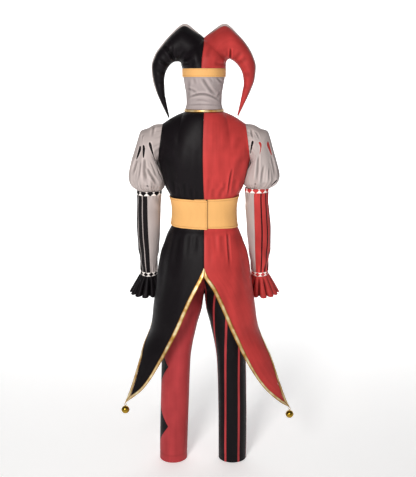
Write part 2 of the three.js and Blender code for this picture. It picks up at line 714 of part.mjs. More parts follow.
function addHood() {
  const bottom = -28;
  const heart = (u, v) => new THREE.Vector3(0, headMiddle, mix(bottom, hoodTop, v));
  const rows = [0, 0.13, 0.19, 0.31, 0.5, 0.7, 0.88, 1];
  const gap = 0.0025;
  const back = (u, v) => hoodPoint(mix(-quarter + gap, quarter - gap, u), mix(bottom, hoodTop, v));
  addPiece("hood_back", clothWallOn(back, heart, steps(12), rows), greyCloth);
  const front = (u, v) => {
    const turn = mix(quarter + gap, 3 * quarter - gap, u);
    return hoodPoint(turn, mix(bottom, hoodEdge(turn), v));
  };
  const half = [0, 0.08, 0.167, 0.21, 0.25, 0.333, 0.417, 0.5];
  const frontSteps = [...half, ...half.slice(0, -1).map((step) => 1 - step).reverse()];
  addPiece("hood_front", clothWallOn(front, heart, frontSteps, rows), greyCloth);
}
addHood();

// Hat: the band, then two horned halves, each a back and a front panel fanned from band to tip.
function addHatBand() {
  const shape = (u, v) => {
    const turn = u * 2 * Math.PI;
    const height = mix(hatBandBottom, hatBandTop, v);
    return new THREE.Vector3(84.2 * Math.sin(turn), headMiddle - 101 * Math.cos(turn), height);
  };
  const heart = (u, v) => new THREE.Vector3(0, headMiddle, mix(hatBandBottom, hatBandTop, v));
  const band = clothWallOn(shape, heart, steps(24), steps(1), { ring: true, thickness: trimWall });
  addPiece("hat_band", band, ochreCloth);
}
addHatBand();

// Horn sections: outer runs up the middle seam, over the peak and down the outside to the tip.
// inner is the side seam, the crook under the bend and the inside of the hanging horn.
const hornColumns = ["along", "outerX", "outerZ", "innerX", "innerZ", "depth", "seam"];
const horns = {
  left: table(hornColumns, [
    [0, 0, 158.5, 84, 158.5, 100, 99.9],
    [1, 0, 201, 86, 165, 97, 92],
    [2, 0, 238, 88, 171, 91, 68],
    [3, 0, 261, 89, 175, 84, 34],
    [4, 0, 270, 90, 178, 78, 0],
    [5, 38, 298, 93, 181, 70, 0],
    [6, 75, 316, 99, 183, 60, 0],
    [7, 122, 284, 108, 183, 53, 0],
    [8, 157, 246, 120, 179, 46, 0],
    [9, 185, 207, 136, 165, 38, 0],
    [10, 198, 163, 149, 138, 31, 0],
    [11, 194, 118, 153, 106, 24, 0],
    [12, 181, 72, 152, 70, 17, 0],
    [13, 163, 26, 145, 30, 10, 0],
    [14, 138, -30, 134, -25, 3.5, 0],
  ]),
  right: table(hornColumns, [
    [0, 0, 158.5, 84, 158.5, 100, 99.9],
    [1, 0, 201, 84.5, 166, 97, 92],
    [2, 0, 238, 85, 174, 91, 68],
    [3, 0, 261, 86, 181, 84, 34],
    [4, 0, 270, 88, 186, 78, 0],
    [5, 39, 298, 91, 190, 70, 0],
    [6, 80, 316, 97, 193, 60, 0],
    [7, 125, 284, 106, 190, 53, 0],
    [8, 157, 249, 117, 183, 46, 0],
    [9, 182, 208, 133, 166, 38, 0],
    [10, 195, 163, 146, 141, 31, 0],
    [11, 191, 120, 151, 106, 24, 0],
    [12, 176, 76, 147, 72, 17, 0],
    [13, 157, 32, 140, 36, 10, 0],
    [14, 132, -23, 128, -18, 3.5, 0],
  ]),
};
const frontEdge = { width: 4, atPeak: 5 };

function addHornPanel(name, rows, side, way, material) {
  const form = columns(rows, "along");
  const lastRow = rows.length - 1;
  const section = (v) => {
    const row = sectionAt(form, clamp01(v) * lastRow);
    const at = v * lastRow;
    const shown = clamp01(at - 4) * clamp01((lastRow - at) / 2);
    const edge = frontEdge.width + frontEdge.atPeak * bump((at - 6) / 1.5);
    const spare = way > 0 ? shown * edge : 0;
    const across = new THREE.Vector2(row.outerX - row.innerX, row.outerZ - row.innerZ).normalize();
    return {
      outerX: row.innerX,
      outerDrop: -row.innerZ,
      innerX: row.outerX + across.x * spare,
      innerDrop: -row.outerZ - across.y * spare,
      back: row.depth,
      front: row.depth,
      seamBack: row.seam,
      seamFront: row.seam,
      middle: headMiddle,
    };
  };
  const gap = seamGap / 2;
  const shape = (u, v) =>
    moved(mirrored(sectionPoint(section(v), way, u), side), side * gap, way * gap, 0);
  const heart = (u, v) => mirrored(sectionHeart(section(v)), side);
  const up = steps(16);
  addPiece(name, clothWallOn(shape, heart, steps(6), up), material);
}

addHornPanel("hat_back_left", horns.left, -1, -1, blackSatin);
addHornPanel("hat_front_left", horns.left, -1, 1, greyCloth);
addHornPanel("hat_back_right", horns.right, 1, -1, redSatin);
addHornPanel("hat_front_right", horns.right, 1, 1, greyCloth);

// Bells: a slotted brass ball with a wire loop, on a ring sewn to the tail's tip.
const ring = { radius: 4.5, wire: 0.75 };
const loop = { radius: 2.6, wire: 0.75 };
const ringGap = 1.3;
const loopRise = 1.9;
const bellWall = 1;
const slotWidth = 2.6;

function solidOf(geometry) {
  const flat = geometry.index ? geometry.toNonIndexed() : geometry;
  const at = flat.getAttribute("position").array;
  const keys = new Map();
  const vertices = [];
  const triangles = [];
  for (let i = 0; i < at.length; i += 3) {
    const key = [at[i], at[i + 1], at[i + 2]].map((x) => Math.round(x * 1000)).join(",");
    if (!keys.has(key)) {
      keys.set(key, keys.size);
      vertices.push(at[i], at[i + 1], at[i + 2]);
    }
    triangles.push(keys.get(key));
  }
  const whole = triangles.filter((_, i) => {
    const first = i - (i % 3);
    const [a, b, c] = triangles.slice(first, first + 3);
    return a !== b && b !== c && c !== a;
  });
  return new wasm.Manifold(
    new wasm.Mesh({
      numProp: 3,
      vertProperties: new Float32Array(vertices),
      triVerts: new Uint32Array(whole),
    }),
  );
}

function geometryOf(solid) {
  const mesh = solid.getMesh();
  const geometry = new THREE.BufferGeometry();
  geometry.setAttribute("position", new THREE.BufferAttribute(mesh.vertProperties, 3));
  geometry.setIndex(new THREE.BufferAttribute(mesh.triVerts, 1));
  geometry.computeVertexNormals();
  return geometry;
}

// Half outline of a ball from pole to pole, with a ridge round its middle.
function ballOutline(radius, ridge) {
  const rounds = [-90, -60, -32, -9, 0, 9, 32, 60, 90];
  return rounds.map((angle) => {
    const out = radius + (angle === 0 ? ridge : 0);
    return new THREE.Vector2(out * Math.cos(angle * degree), out * Math.sin(angle * degree));
  });
}

function bellGeometry() {
  const sides = 12;
  const turned = (radius, ridge) => {
    const outline = ballOutline(radius, ridge);
    outline[0].x = 0;
    outline[outline.length - 1].x = 0;
    return solidOf(new THREE.LatheGeometry(outline, sides).rotateX(quarter));
  };
  const slot = solidOf(
    new THREE.BoxGeometry(bellRadius * 1.7, slotWidth, bellRadius).translate(0, 0, -bellRadius * 0.7),
  );
  const wire = new THREE.TorusGeometry(loop.radius, loop.wire, 5, 10).rotateY(quarter);
  const shank = solidOf(wire.translate(0, 0, bellRadius + loopRise));
  const shell = turned(bellRadius, 0.8).subtract(turned(bellRadius - bellWall, 0)).subtract(slot);
  return geometryOf(shell.add(shank));
}

function addBell(tail, name) {
  const { side, tipDrop } = tail;
  const tipEdges = tailEdges(tail, tipDrop);
  const tip = mirrored(coatPoint((tipEdges.free + tipEdges.outer) / 2, tipDrop), side);
  const ringTop = moved(tip.clone(), -side * 0.4, 0.73, -ringGap);
  const ringMiddle = moved(ringTop, 0, 0, -ring.radius - ring.wire);
  const link = new THREE.TorusGeometry(ring.radius, ring.wire, 5, 14).rotateX(quarter);
  const ringPiece = addPiece(`bell_ring_${name}`, link, brass);
  ringPiece.position.copy(ringMiddle);
  const slack = loop.radius - loop.wire - ring.wire - seamGap;
  const hang = ring.radius + slack + bellRadius + loopRise;
  const bell = addPiece(`bell_${name}`, bellGeometry(), brass);
  bell.position.copy(moved(ringMiddle.clone(), 0, 0, -hang));
  const pellet = addPiece(`bell_pellet_${name}`, new THREE.IcosahedronGeometry(3.6, 1), brass);
  pellet.position.copy(moved(ringMiddle.clone(), 0, 0, -hang - bellRadius + bellWall + 4.2));
}

addBell(tails.left, "left");
addBell(tails.right, "right");

export default costume;
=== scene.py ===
import math

import bpy
import numpy as np
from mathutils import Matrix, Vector


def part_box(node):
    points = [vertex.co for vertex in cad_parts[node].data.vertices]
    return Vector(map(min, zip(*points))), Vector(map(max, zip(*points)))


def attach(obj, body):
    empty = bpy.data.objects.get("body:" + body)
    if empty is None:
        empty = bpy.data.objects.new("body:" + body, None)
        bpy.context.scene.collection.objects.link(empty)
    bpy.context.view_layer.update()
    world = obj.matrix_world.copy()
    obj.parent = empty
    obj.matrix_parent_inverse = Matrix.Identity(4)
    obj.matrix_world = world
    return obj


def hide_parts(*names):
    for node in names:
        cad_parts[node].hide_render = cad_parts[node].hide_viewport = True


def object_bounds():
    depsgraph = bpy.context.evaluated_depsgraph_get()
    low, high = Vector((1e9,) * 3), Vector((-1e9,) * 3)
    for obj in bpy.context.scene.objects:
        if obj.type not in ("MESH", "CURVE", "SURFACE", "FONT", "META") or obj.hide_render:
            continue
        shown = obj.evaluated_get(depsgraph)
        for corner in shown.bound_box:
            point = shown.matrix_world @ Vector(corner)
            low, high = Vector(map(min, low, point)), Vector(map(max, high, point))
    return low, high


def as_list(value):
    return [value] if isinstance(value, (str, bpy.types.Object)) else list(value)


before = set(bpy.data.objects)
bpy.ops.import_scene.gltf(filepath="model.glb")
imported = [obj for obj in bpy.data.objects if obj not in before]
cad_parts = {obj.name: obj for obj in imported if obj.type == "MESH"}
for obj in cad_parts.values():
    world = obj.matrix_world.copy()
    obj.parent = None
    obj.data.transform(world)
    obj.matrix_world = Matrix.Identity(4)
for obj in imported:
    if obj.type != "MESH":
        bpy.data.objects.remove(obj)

cadBox = [list(corner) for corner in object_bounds()]
mm = 0.001
fullTurn = 2 * math.pi
quarterTurn = math.pi / 2
degree = math.pi / 180
fineness = 1.0
sides = ("left", "right")
otherSide = {"left": "right", "right": "left"}
colourOf = {"left": "black", "right": "red"}
sideSign = {"left": -1, "right": 1}
faceOf = {-1: "back", 1: "front"}  # the way a piece lies: towards the camera or away from it
print("frame loaded")


# numbers and lines
def clamp01(t):
    return np.clip(t, 0.0, 1.0)


def mix(a, b, t):
    return a + (b - a) * t


def smoothStep(a, b, x):
    t = clamp01((x - a) / (b - a))
    return t * t * (3 - 2 * t)


def bump(t):
    return np.where(np.abs(t) < 1, np.cos(np.clip(t, -1, 1) * quarterTurn) ** 2, 0.0)


def swell(x, width=1.0, at=0.0):
    return np.exp(-(((x - at) / width) ** 2))


def wrapped(turn):
    # a turn brought between -0.5 and 0.5
    return (turn + 0.5) % 1 - 0.5


def smoothLine(at, values):
    # a line through one column of a table that never swings past its rows
    at, values = np.array(at, float), np.array(values, float)
    slope = np.diff(values) / np.diff(at)
    product = slope[:-1] * slope[1:]
    total = np.where(product > 0, slope[:-1] + slope[1:], 1.0)
    inner = np.where(product > 0, 2 * product / total, 0.0)
    tangent = np.concatenate([slope[:1], inner, slope[-1:]])

    def line(x):
        inside = np.clip(x, at[0], at[-1])
        i = np.clip(np.searchsorted(at, inside) - 1, 0, len(at) - 2)
        span = at[i + 1] - at[i]
        t = (inside - at[i]) / span
        rise = t * t * (3 - 2 * t)
        lean = span * (t * (1 - t) ** 2 * tangent[i] - t * t * (1 - t) * tangent[i + 1])
        return mix(values[i], values[i + 1], rise) + lean

    return line


def readForm(names, rows):
    # one smooth line for each named column, along the first column
    columns = list(zip(*rows))
    return {name: smoothLine(columns[0], columns[k]) for k, name in enumerate(names.split()) if k}


def points(x, y, z):
    return np.stack(np.broadcast_arrays(x, y, z), axis=-1).astype(float)


def mirrored(p, side):
    return p * np.array([side, 1.0, 1.0])


# folds pressed into cloth
def pressFolds(p, q, folds):
    # each fold: start p, start q, end p, end q, depth, width, bend; a trough between two soft ridges
    total = np.zeros(np.broadcast(p, q).shape)
    for p0, q0, p1, q1, depth, width, bend in folds:
        dp, dq = p1 - p0, q1 - q0
        length = math.hypot(dp, dq)
        t = ((p - p0) * dp + (q - q0) * dq) / length**2
        inside = clamp01(t)
        across = ((p - p0) * dq - (q - q0) * dp) / length - bend * 4 * inside * (1 - inside)
        fade = smoothStep(-0.04, 0.22, t) * (1 - smoothStep(0.55, 1.04, t))
        x = across / width
        total = total + depth * fade * (0.42 * np.exp(-((np.abs(x) - 1.7) ** 2) / 0.7) - np.exp(-x * x))
    return total


def foldedAt(p, folds):
    return pressFolds(p[..., 0], p[..., 2], folds)


def rumple(p, size, amount, seed):
    # slow swells that never repeat within a piece
    rng = np.random.default_rng(seed)
    total = 0
    for _ in range(5):
        way = rng.normal(size=3)
        way /= np.linalg.norm(way)
        pitch = size * rng.uniform(0.7, 1.6)
        total = total + np.sin((p @ way) * fullTurn / pitch + rng.uniform(0, fullTurn))
    return amount * total / 3


def seamRoll(distance, depth=1.2, width=2.6):
    # cloth turns in at a seam
    return -depth * swell(distance, width)


def toEdge(u):
    return np.minimum(u, 1 - u)


# cloth meshes
def unit(way, least=1e-9):
    return way / np.maximum(np.linalg.norm(way, axis=-1, keepdims=True), least)


def facing(way, likeThis):
    way = unit(way)
    return np.where(np.sum(way * likeThis, axis=-1, keepdims=True) < 0, -way, way)


def wayOut(shape, heart, u, v, small=1e-3):
    across = shape(u + small, v) - shape(u - small, v)
    along = shape(u, v + small) - shape(u, v - small)
    return facing(np.cross(across, along), shape(u, v) - heart(u, v))


def gridWay(grid, likeThis, ring):
    across = np.roll(grid, -1, 1) - np.roll(grid, 1, 1) if ring else np.gradient(grid, axis=1)
    return facing(np.cross(across, np.gradient(grid, axis=0)), likeThis)


def closedRing(grid, ring, step=0):
    return np.concatenate([grid, grid[:, :1] + step], axis=1) if ring else grid


def arcLengths(grid, ring):
    closed = closedRing(grid, ring)
    across = np.linalg.norm(np.diff(closed, axis=1), axis=-1)
    s = np.concatenate([np.zeros((len(grid), 1)), np.cumsum(across, axis=1)], axis=1)
    along = np.linalg.norm(np.diff(closed, axis=0), axis=-1).mean(axis=1)
    t = np.concatenate([[0.0], np.cumsum(along)])
    return np.stack([s, np.broadcast_to(t[:, None], s.shape)], axis=-1) * mm


def softened(grid, passes, ring):
    # a grid of numbers averaged with its neighbours again and again
    for _ in range(passes):
        padded = np.pad(grid, ((1, 1), (0, 0)), "edge")
        grid = (padded[:-2] + 2 * grid + padded[2:]) / 4
        padded = np.pad(grid, ((0, 0), (1, 1)), "wrap" if ring else "edge")
        grid = (padded[:, :-2] + 2 * grid + padded[:, 2:]) / 4
    return grid


def asObject(name, mesh):
    thing = bpy.data.objects.new(name, mesh)
    bpy.context.scene.collection.objects.link(thing)
    return thing


def wallMesh(name, outer, inner, uv, pressed, ring):
    # outer and inner grids joined at their edges into one closed wall
    rows, cols = outer.shape[:2]
    closed = closedRing(np.arange(rows * cols).reshape(rows, cols), ring)
    uvIndex = np.arange(rows * uv.shape[1]).reshape(rows, uv.shape[1])

    def quadsOf(table, further):
        far = table + further
        a, b, c, d = (part.ravel() for part in (table[:-1, :-1], table[:-1, 1:], table[1:, 1:], table[1:, :-1]))
        parts = [(a, b, c, d), tuple(corner + further for corner in (a, d, c, b))]
        parts.append((far[0, :-1], far[0, 1:], table[0, 1:], table[0, :-1]))
        parts.append((table[-1, :-1], table[-1, 1:], far[-1, 1:], far[-1, :-1]))
        if not ring:
            parts.append((far[:-1, 0], table[:-1, 0], table[1:, 0], far[1:, 0]))
            parts.append((table[:-1, -1], far[:-1, -1], far[1:, -1], table[1:, -1]))
        return np.concatenate([np.stack(part, 1) for part in parts])

    quads, uvQuads = quadsOf(closed, rows * cols), quadsOf(uvIndex, 0)
    vertices = np.concatenate([outer.reshape(-1, 3), inner.reshape(-1, 3)]) * mm
    p0, p1, p2, p3 = (vertices[quads[:, k]] for k in range(4))
    if np.sum(p0 * (np.cross(p1, p2) + np.cross(p2, p3))) < 0:
        quads, uvQuads = quads[:, ::-1], uvQuads[:, ::-1]
    mesh = bpy.data.meshes.new(name)
    mesh.vertices.add(len(vertices))
    mesh.vertices.foreach_set("co", vertices.astype(np.float32).ravel())
    mesh.loops.add(quads.size)
    mesh.loops.foreach_set("vertex_index", quads.astype(np.int32).ravel())
    mesh.polygons.add(len(quads))
    mesh.polygons.foreach_set("loop_start", np.arange(0, quads.size, 4, dtype=np.int32))
    mesh.polygons.foreach_set("use_smooth", np.ones(len(quads), bool))
    corners = uv.reshape(-1, 2)[uvQuads].astype(np.float32).ravel()
    mesh.uv_layers.new(name="cloth").data.foreach_set("uv", corners)
    # painted shade and painted highlight of the relief, the same on both walls
    press = mesh.attributes.new("press", "FLOAT", "POINT").data
    press.foreach_set("value", np.tile(pressed.ravel(), 2).astype(np.float32))
    mesh.update(calc_edges=True)
    mesh.validate()
    mesh.set_sharp_from_angle(angle=50 * degree)
    return asObject(name, mesh)


def gridSteps(count, ring):
    count = max(4, int(count * fineness))
    return np.arange(count) / count if ring else np.linspace(0, 1, count + 1)


def makeCloth(name, shape, heart, size, wall=1.3, ring=False, relief=None, rows=None, uv=None, shade=None,
              soften=None):
    # shape(u, v) in millimetres; relief(points, u, v) is how far the face stands off it
    u, v = np.meshgrid(gridSteps(size[0], ring), gridSteps(size[1], False) if rows is None else rows)
    base = shape(u, v)
    way = wayOut(shape, heart, u, v)
    lift = 0 * u if relief is None else relief(base, u, v) + 0 * u
    outer = base + way * lift[..., None]
    # painted shade in the troughs of the relief and painted highlight on its ridges, kept for the material
    pressed = np.clip((lift - softened(lift, 22, ring)) / 2.2, -1, 0.6)
    # shade(points, u, v) adds more painted shade
    if shade is not None:
        pressed = pressed + shade(base, u, v)
    if soften is not None:
        calm = np.stack([softened(outer[..., k], 70, ring) for k in range(3)], axis=-1)
        outer = mix(outer, calm, soften(u, v)[..., None])
    inner = outer - gridWay(outer, way, ring) * wall
    cloth = arcLengths(base, ring)
    if uv is not None:
        cloth = uv(closedRing(u, ring, 1), cloth)
    return wallMesh(name, outer, inner, cloth, pressed, ring)


def stripUv(u, cloth):
    return np.stack([u, cloth[..., 1]], axis=-1)


def stripUvDown(u, cloth):
    return np.stack([np.broadcast_to(np.linspace(0, 1, len(u))[:, None], u.shape), cloth[..., 0]], axis=-1)


def finishPiece(piece, finish, nodes=(), body="costume"):
    # a finish is a material and the record's slot for it
    material, slot = finish
    piece.data.materials.clear()
    piece.data.materials.append(material)
    if nodes:
        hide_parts(*nodes)
    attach(piece, body)
    return piece


def pieceName(node):
    first, *others = node.split("_")
    return first + "".join(other.title() for other in others)


def sew(node, finish, shape, heart, size, flat, held, restsOn, area=None, name=None, **cut):
    # one cloth piece: its mesh, its finish and the node it stands for; the sheet it was cut from (flat, held,
    # restsOn, area) is not used
    piece = makeCloth(name or pieceName(node), shape, heart, size, **cut)
    finishPiece(piece, finish, [node] if node else ())
    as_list(restsOn)
    return piece


# shared shader groups
def nodeGroup(name, inputs, outputs):
    # an input without a value is a place, and every output is a number
    tree = bpy.data.node_groups.new(name, "ShaderNodeTree")
    for label, value in inputs.items():
        kind = "NodeSocketVector" if value is None else "NodeSocketFloat"
        socket = tree.interface.new_socket(label, in_out="INPUT", socket_type=kind)
        if value is not None:
            socket.default_value = value
    for label in outputs:
        tree.interface.new_socket(label, in_out="OUTPUT", socket_type="NodeSocketFloat")
    return tree, tree.nodes.new("NodeGroupInput").outputs, tree.nodes.new("NodeGroupOutput").inputs


def feed(tree, sockets, values):
    # values are plain ones or other nodes' sockets
    for key, value in values.items():
        if isinstance(value, bpy.types.NodeSocket):
            tree.links.new(value, sockets[key])
        else:
            sockets[key].default_value = value


def put(tree, kind, inputs=None, **settings):
    node = tree.nodes.new(kind if "Node" in kind else "ShaderNode" + kind)
    for key, value in settings.items():
        setattr(node, key, value)
    feed(tree, node.inputs, inputs or {})
    return node.outputs


def calc(tree, operation, a, b=0.0, c=0.0):
    return put(tree, "Math", {0: a, 1: b, 2: c}, operation=operation)[0]


def blendColour(tree, factor, a, b):
    return put(tree, "Mix", {0: factor, 6: a, 7: b}, data_type="RGBA")[2]


def noise(tree, place, scale, detail):
    return put(tree, "TexNoise", {"Vector": place, "Scale": scale, "Detail": detail})["Fac"]


def linear(hexColour):
    # a colour of the screen as the shader's linear numbers
    parts = [int(hexColour[i : i + 2], 16) / 255 for i in (1, 3, 5)]
    return [p / 12.92 if p <= 0.04045 else ((p + 0.055) / 1.055) ** 2.4 for p in parts] + [1.0]


def buildWeave():
    inputs = {"Cloth": None, "Thread": 0.0006, "Float": 0.0}
    tree, given, out = nodeGroup("threadWeave", inputs, ("Height", "Shade"))
    xyz = put(tree, "SeparateXYZ", {0: given["Cloth"]})
    turns = calc(tree, "DIVIDE", fullTurn, given["Thread"])
    warp = calc(tree, "SINE", calc(tree, "MULTIPLY", xyz[0], turns))
    slant = calc(tree, "ADD", xyz[1], calc(tree, "MULTIPLY", xyz[0], given["Float"]))
    weft = calc(tree, "SINE", calc(tree, "MULTIPLY", slant, turns))

    def threads(stretch):
        stretched = put(tree, "VectorMath", {0: given["Cloth"], 1: stretch}, operation="MULTIPLY")[0]
        return noise(tree, stretched, 1.0, 2.0)

    slub, streak = threads((1600.0, 120.0, 1.0)), threads((75.0, 5.0, 1.0))
    height = calc(tree, "MULTIPLY_ADD", calc(tree, "MULTIPLY", warp, weft), 0.5, slub)
    shade = calc(tree, "MULTIPLY_ADD", streak, 0.7, calc(tree, "MULTIPLY", slub, 0.3))
    tree.links.new(height, out["Height"])
    tree.links.new(shade, out["Shade"])
    return tree


def buildPatches():
    tree, given, out = nodeGroup("softPatches", {"Place": None, "Scale": 14.0, "Fine": 90.0}, ("Wide", "Small"))
    tree.links.new(noise(tree, given["Place"], given["Scale"], 3.0), out["Wide"])
    tree.links.new(noise(tree, given["Place"], given["Fine"], 4.0), out["Small"])
    return tree


threadWeave = buildWeave()
softPatches = buildPatches()


def freshMaterial(name):
    material = bpy.data.materials.new(name)
    material.use_nodes = True
    tree = material.node_tree
    return material, tree, tree.nodes["Principled BSDF"].inputs, put(tree, "TexCoord")["Object"]


def clothMaterial(name, feel, paint):
    # paint(tree, cloth) is the colour; feel holds the sizes of weave, bump and shine
    material, tree, shader, place = freshMaterial(name)
    cloth = put(tree, "UVMap", uv_map="cloth")["UV"]
    colour = paint(tree, cloth)
    woven = {"Cloth": cloth, "Thread": feel["thread"], "Float": feel["slant"]}
    weave = put(tree, "Group", woven, node_tree=threadWeave)
    patches = put(tree, "Group", {"Place": place, "Scale": feel["patch"]}, node_tree=softPatches)

    def valued(value, tone):
        return put(tree, "HueSaturation", {"Value": value, "Color": tone})[0]

    spread = calc(tree, "MULTIPLY_ADD", weave["Shade"], 0.5, calc(tree, "MULTIPLY", patches["Wide"], 0.75))
    darker, lighter = valued(1 - feel["fade"], colour), valued(1 + feel["fade"], colour)
    tinted = blendColour(tree, calc(tree, "MULTIPLY_ADD", spread, 2.0, -0.75), darker, lighter)
    # the painted shade and painted highlight darken and lighten the colour, as strongly as feel's hollow says
    press = put(tree, "Attribute", attribute_name="press")["Fac"]
    hollow = calc(tree, "MULTIPLY_ADD", press, feel["hollow"], 1.0)
    height = calc(tree, "MULTIPLY_ADD", patches["Small"], 0.6, weave["Height"])
    feed(tree, shader, {
        "Base Color": valued(put(tree, "Clamp", {0: hollow, 1: 0.04, 2: 1.3})[0], tinted),
        "Roughness": calc(tree, "MULTIPLY_ADD", patches["Small"], feel["roughSpread"], feel["rough"]),
        "Normal": put(tree, "Bump", {"Strength": feel["bump"], "Distance": feel["depth"], "Height": height})[0],
        "Sheen Weight": feel["sheen"],
        "Sheen Roughness": 0.45,
        "Specular IOR Level": feel["specular"],
    })
    return material


# hollow is how strongly the painted shade and painted highlight of the relief show
feelNames = ("thread", "slant", "patch", "fade", "rough", "roughSpread", "bump", "depth", "sheen", "specular",
             "hollow")
satin = dict(zip(feelNames, (0.0005, 0.25, 9.0, 0.2, 0.4, 0.12, 0.25, 0.0004, 0.01, 0.1, 0.5)))
matte = dict(zip(feelNames, (0.0009, 0.0, 12.0, 0.07, 0.72, 0.15, 0.35, 0.0005, 0.06, 0.12, 0.42)))
felt = dict(zip(feelNames, (0.0006, 0.0, 10.0, 0.06, 0.6, 0.12, 0.2, 0.0004, 0.06, 0.2, 0.5)))
colours = {
    "black": "#130f12", "red": "#bb3d3b", "redLeg": "#ac3b3e", "grey": "#b8aca9", "hood": "#a99d9c",
    "ochre": "#e8b06c", "thread": "#c98d45", "tape": "#fff6f0", "greyStripe": "#a99e9c", "darkStripe": "#1c0d10",
}


def plainCloth(name, colour, feel):
    return clothMaterial(name, feel, lambda tree, cloth: linear(colours[colour]))


def stripedCloth(name, ground, stripe, centres, halfWidth):
    def paint(tree, cloth):
        x = put(tree, "SeparateXYZ", {0: cloth})[0]
        found = 0.0
        for centre in centres:
            away = calc(tree, "ABSOLUTE", calc(tree, "SUBTRACT", x, centre))
            found = calc(tree, "MAXIMUM", found, calc(tree, "LESS_THAN", away, halfWidth))
        return blendColour(tree, found, linear(colours[ground]), linear(colours[stripe]))

    return clothMaterial(name, satin, paint)


def diamondCloth(name, ground, figure, centre, half, period):
    # diamonds in a column or a row: centre, half and period are (across, along), in metres
    def paint(tree, cloth):
        xyz = put(tree, "SeparateXYZ", {0: cloth})
        away = []
        for k in range(2):
            reach = calc(tree, "SUBTRACT", xyz[k], centre[k])
            if period[k]:
                reach = calc(tree, "WRAP", reach, period[k] / 2, -period[k] / 2)
            away.append(calc(tree, "DIVIDE", calc(tree, "ABSOLUTE", reach), half[k]))
        inside = calc(tree, "LESS_THAN", calc(tree, "ADD", *away), 1.0)
        return blendColour(tree, inside, linear(colours[ground]), linear(colours[figure]))

    return clothMaterial(name, satin, paint)


def metalMaterial(name, scales, metallic, rough, bumps, paint):
    # paint gives the colour and the height of the bumps
    material, tree, shader, place = freshMaterial(name)
    patches = put(tree, "Group", {"Place": place, "Scale": scales[0], "Fine": scales[1]}, node_tree=softPatches)
    colour, height = paint(tree, patches)
    feed(tree, shader, {
        "Base Color": colour,
        "Metallic": metallic,
        "Roughness": calc(tree, "MULTIPLY_ADD", patches["Small"], *rough),
        "Normal": put(tree, "Bump", {"Strength": bumps[0], "Distance": bumps[1], "Height": height})[0],
    })
    return material


def foilPaintedLight(tree, patches):
    # the first cloth coordinate runs from 0 to 1 across the strip; its edges get painted shade where the tape
    # rolls under, and the ramp paints brown shade and near-white highlights of crumpled foil over the gold
    across = put(tree, "SeparateXYZ", {0: put(tree, "UVMap", uv_map="cloth")["UV"]})[0]
    away = calc(tree, "ABSOLUTE", calc(tree, "MULTIPLY_ADD", across, 2.0, -1.0))
    edge = calc(tree, "MULTIPLY", calc(tree, "POWER", away, 3.0), 0.42)
    tone = calc(tree, "SUBTRACT", calc(tree, "MULTIPLY_ADD", patches["Wide"], 0.6, 0.34), edge)
    ramp = put(tree, "ValToRGB", {0: tone})[0]
    stops = ramp.node.color_ramp.elements
    stops[0].position, stops[0].color = 0.24, linear("#6b431a")
    stops[1].position, stops[1].color = 0.74, linear("#fff2c4")
    stops.new(0.52).color = linear("#c8923f")
    return ramp, calc(tree, "MULTIPLY_ADD", patches["Small"], 0.35, patches["Wide"])


def brassPaint(tree, patches):
    return blendColour(tree, patches["Wide"], linear("#4a2f0c"), linear("#e6bc44")), patches["Small"]


finishes = {
    "black": (plainCloth("blackSatin", "black", satin), "black_satin"),
    "red": (plainCloth("redSatin", "red", satin), "red_satin"),
    "grey": (plainCloth("greyCloth", "grey", matte), "grey_cloth"),
    "hood": (plainCloth("hoodCloth", "hood", matte), "grey_cloth"),
    "ochre": (plainCloth("ochreCloth", "ochre", felt), "ochre_cloth"),
    "thread": (plainCloth("ochreThread", "thread", felt), "ochre_cloth"),
    "gold": (metalMaterial("goldFoil", (26.0, 260.0), 0.6, (0.3, 0.2), (0.5, 0.0015), foilPaintedLight), "gold_foil"),
    "brass": (
        metalMaterial("bellBrass", (110.0, 500.0), 1.0, (0.22, 0.12), (0.15, 0.0004), brassPaint),
        "bell_brass",
    ),
}
print("materials made")

# coat
coatForm = readForm("drop halfWidth back front middle square", [
    [195, 178, 122, 116, 0, 0.05], [245, 165, 117, 116, 0, 0.05], [292, 153, 110, 110, 0, 0.05],
    [320, 139, 103, 103, 0, 0.05], [336, 131, 99, 99, 0, 0.05], [392, 126, 96, 95, 0, 0.05],
    [450, 130, 100, 98, 0, 0.05], [466, 138, 108, 103, -0.8, 0.04], [518, 158, 124, 113, -3.3, 0.02],
    [553, 171, 133, 121, -5, 0], [616, 183, 144, 131, -8, 0], [700, 194, 153, 138, -12.1, 0],
    [775, 205, 159, 142, -15.8, 0], [862, 217, 165, 146, -20, 0], [979, 280, 173, 146, -20, 0],
    [1090, 330, 182, 146, -18, 0], [1200, 384, 190, 146, -16, 0],
])
coatFolds = [  # turn, from, to, spread, depth
    [44, 215, 338, 12, 5], [22, 260, 336, 9, 3], [68, 250, 336, 10, 3], [40, 450, 640, 14, 5],
    [16, 450, 560, 12, 3], [66, 452, 760, 15, 5], [118, 452, 740, 15, 6], [146, 452, 620, 12, 5],
    [132, 245, 338, 12, 4],
]
coat = {
    "waistDrop": 395, "underarmDrop": 195, "ventDrop": 862, "frontApexDrop": 600,
    "trimWidth": 15, "outerTrimWidth": 12, "seamGap": 0.12,
    "neckHalfWidth": 76, "neckHalfDepth": 74, "neckShare": 0.4,
}
gap = coat["seamGap"] / 2
skirtTop = coat["waistDrop"] + 0.3


def coatPoint(turn, drop, lift=0.0):
    depth = np.where(np.cos(turn) >= 0, coatForm["back"](drop), coatForm["front"](drop))
    fill = 1 + coatForm["square"](drop) * np.sin(2 * turn) ** 2
    out = lift
    for at, first, last, spread, deep in coatFolds:
        share = clamp01((drop - first) / (last - first))
        out = out - deep * bump((turn / degree - at) / spread) * np.sin(math.pi * share)
    x = (coatForm["halfWidth"](drop) * fill + out) * np.sin(turn)
    y = coatForm["middle"](drop) - (depth * fill + out) * np.cos(turn)
    return points(x, y, -drop)


def bodyHeart(drop):
    return points(0 * drop, coatForm["middle"](drop), -drop)


armhole = {"outerX": 160, "outerDrop": 50, "innerX": 178, "innerDrop": 195, "back": 58, "front": 52, "middle": 0}


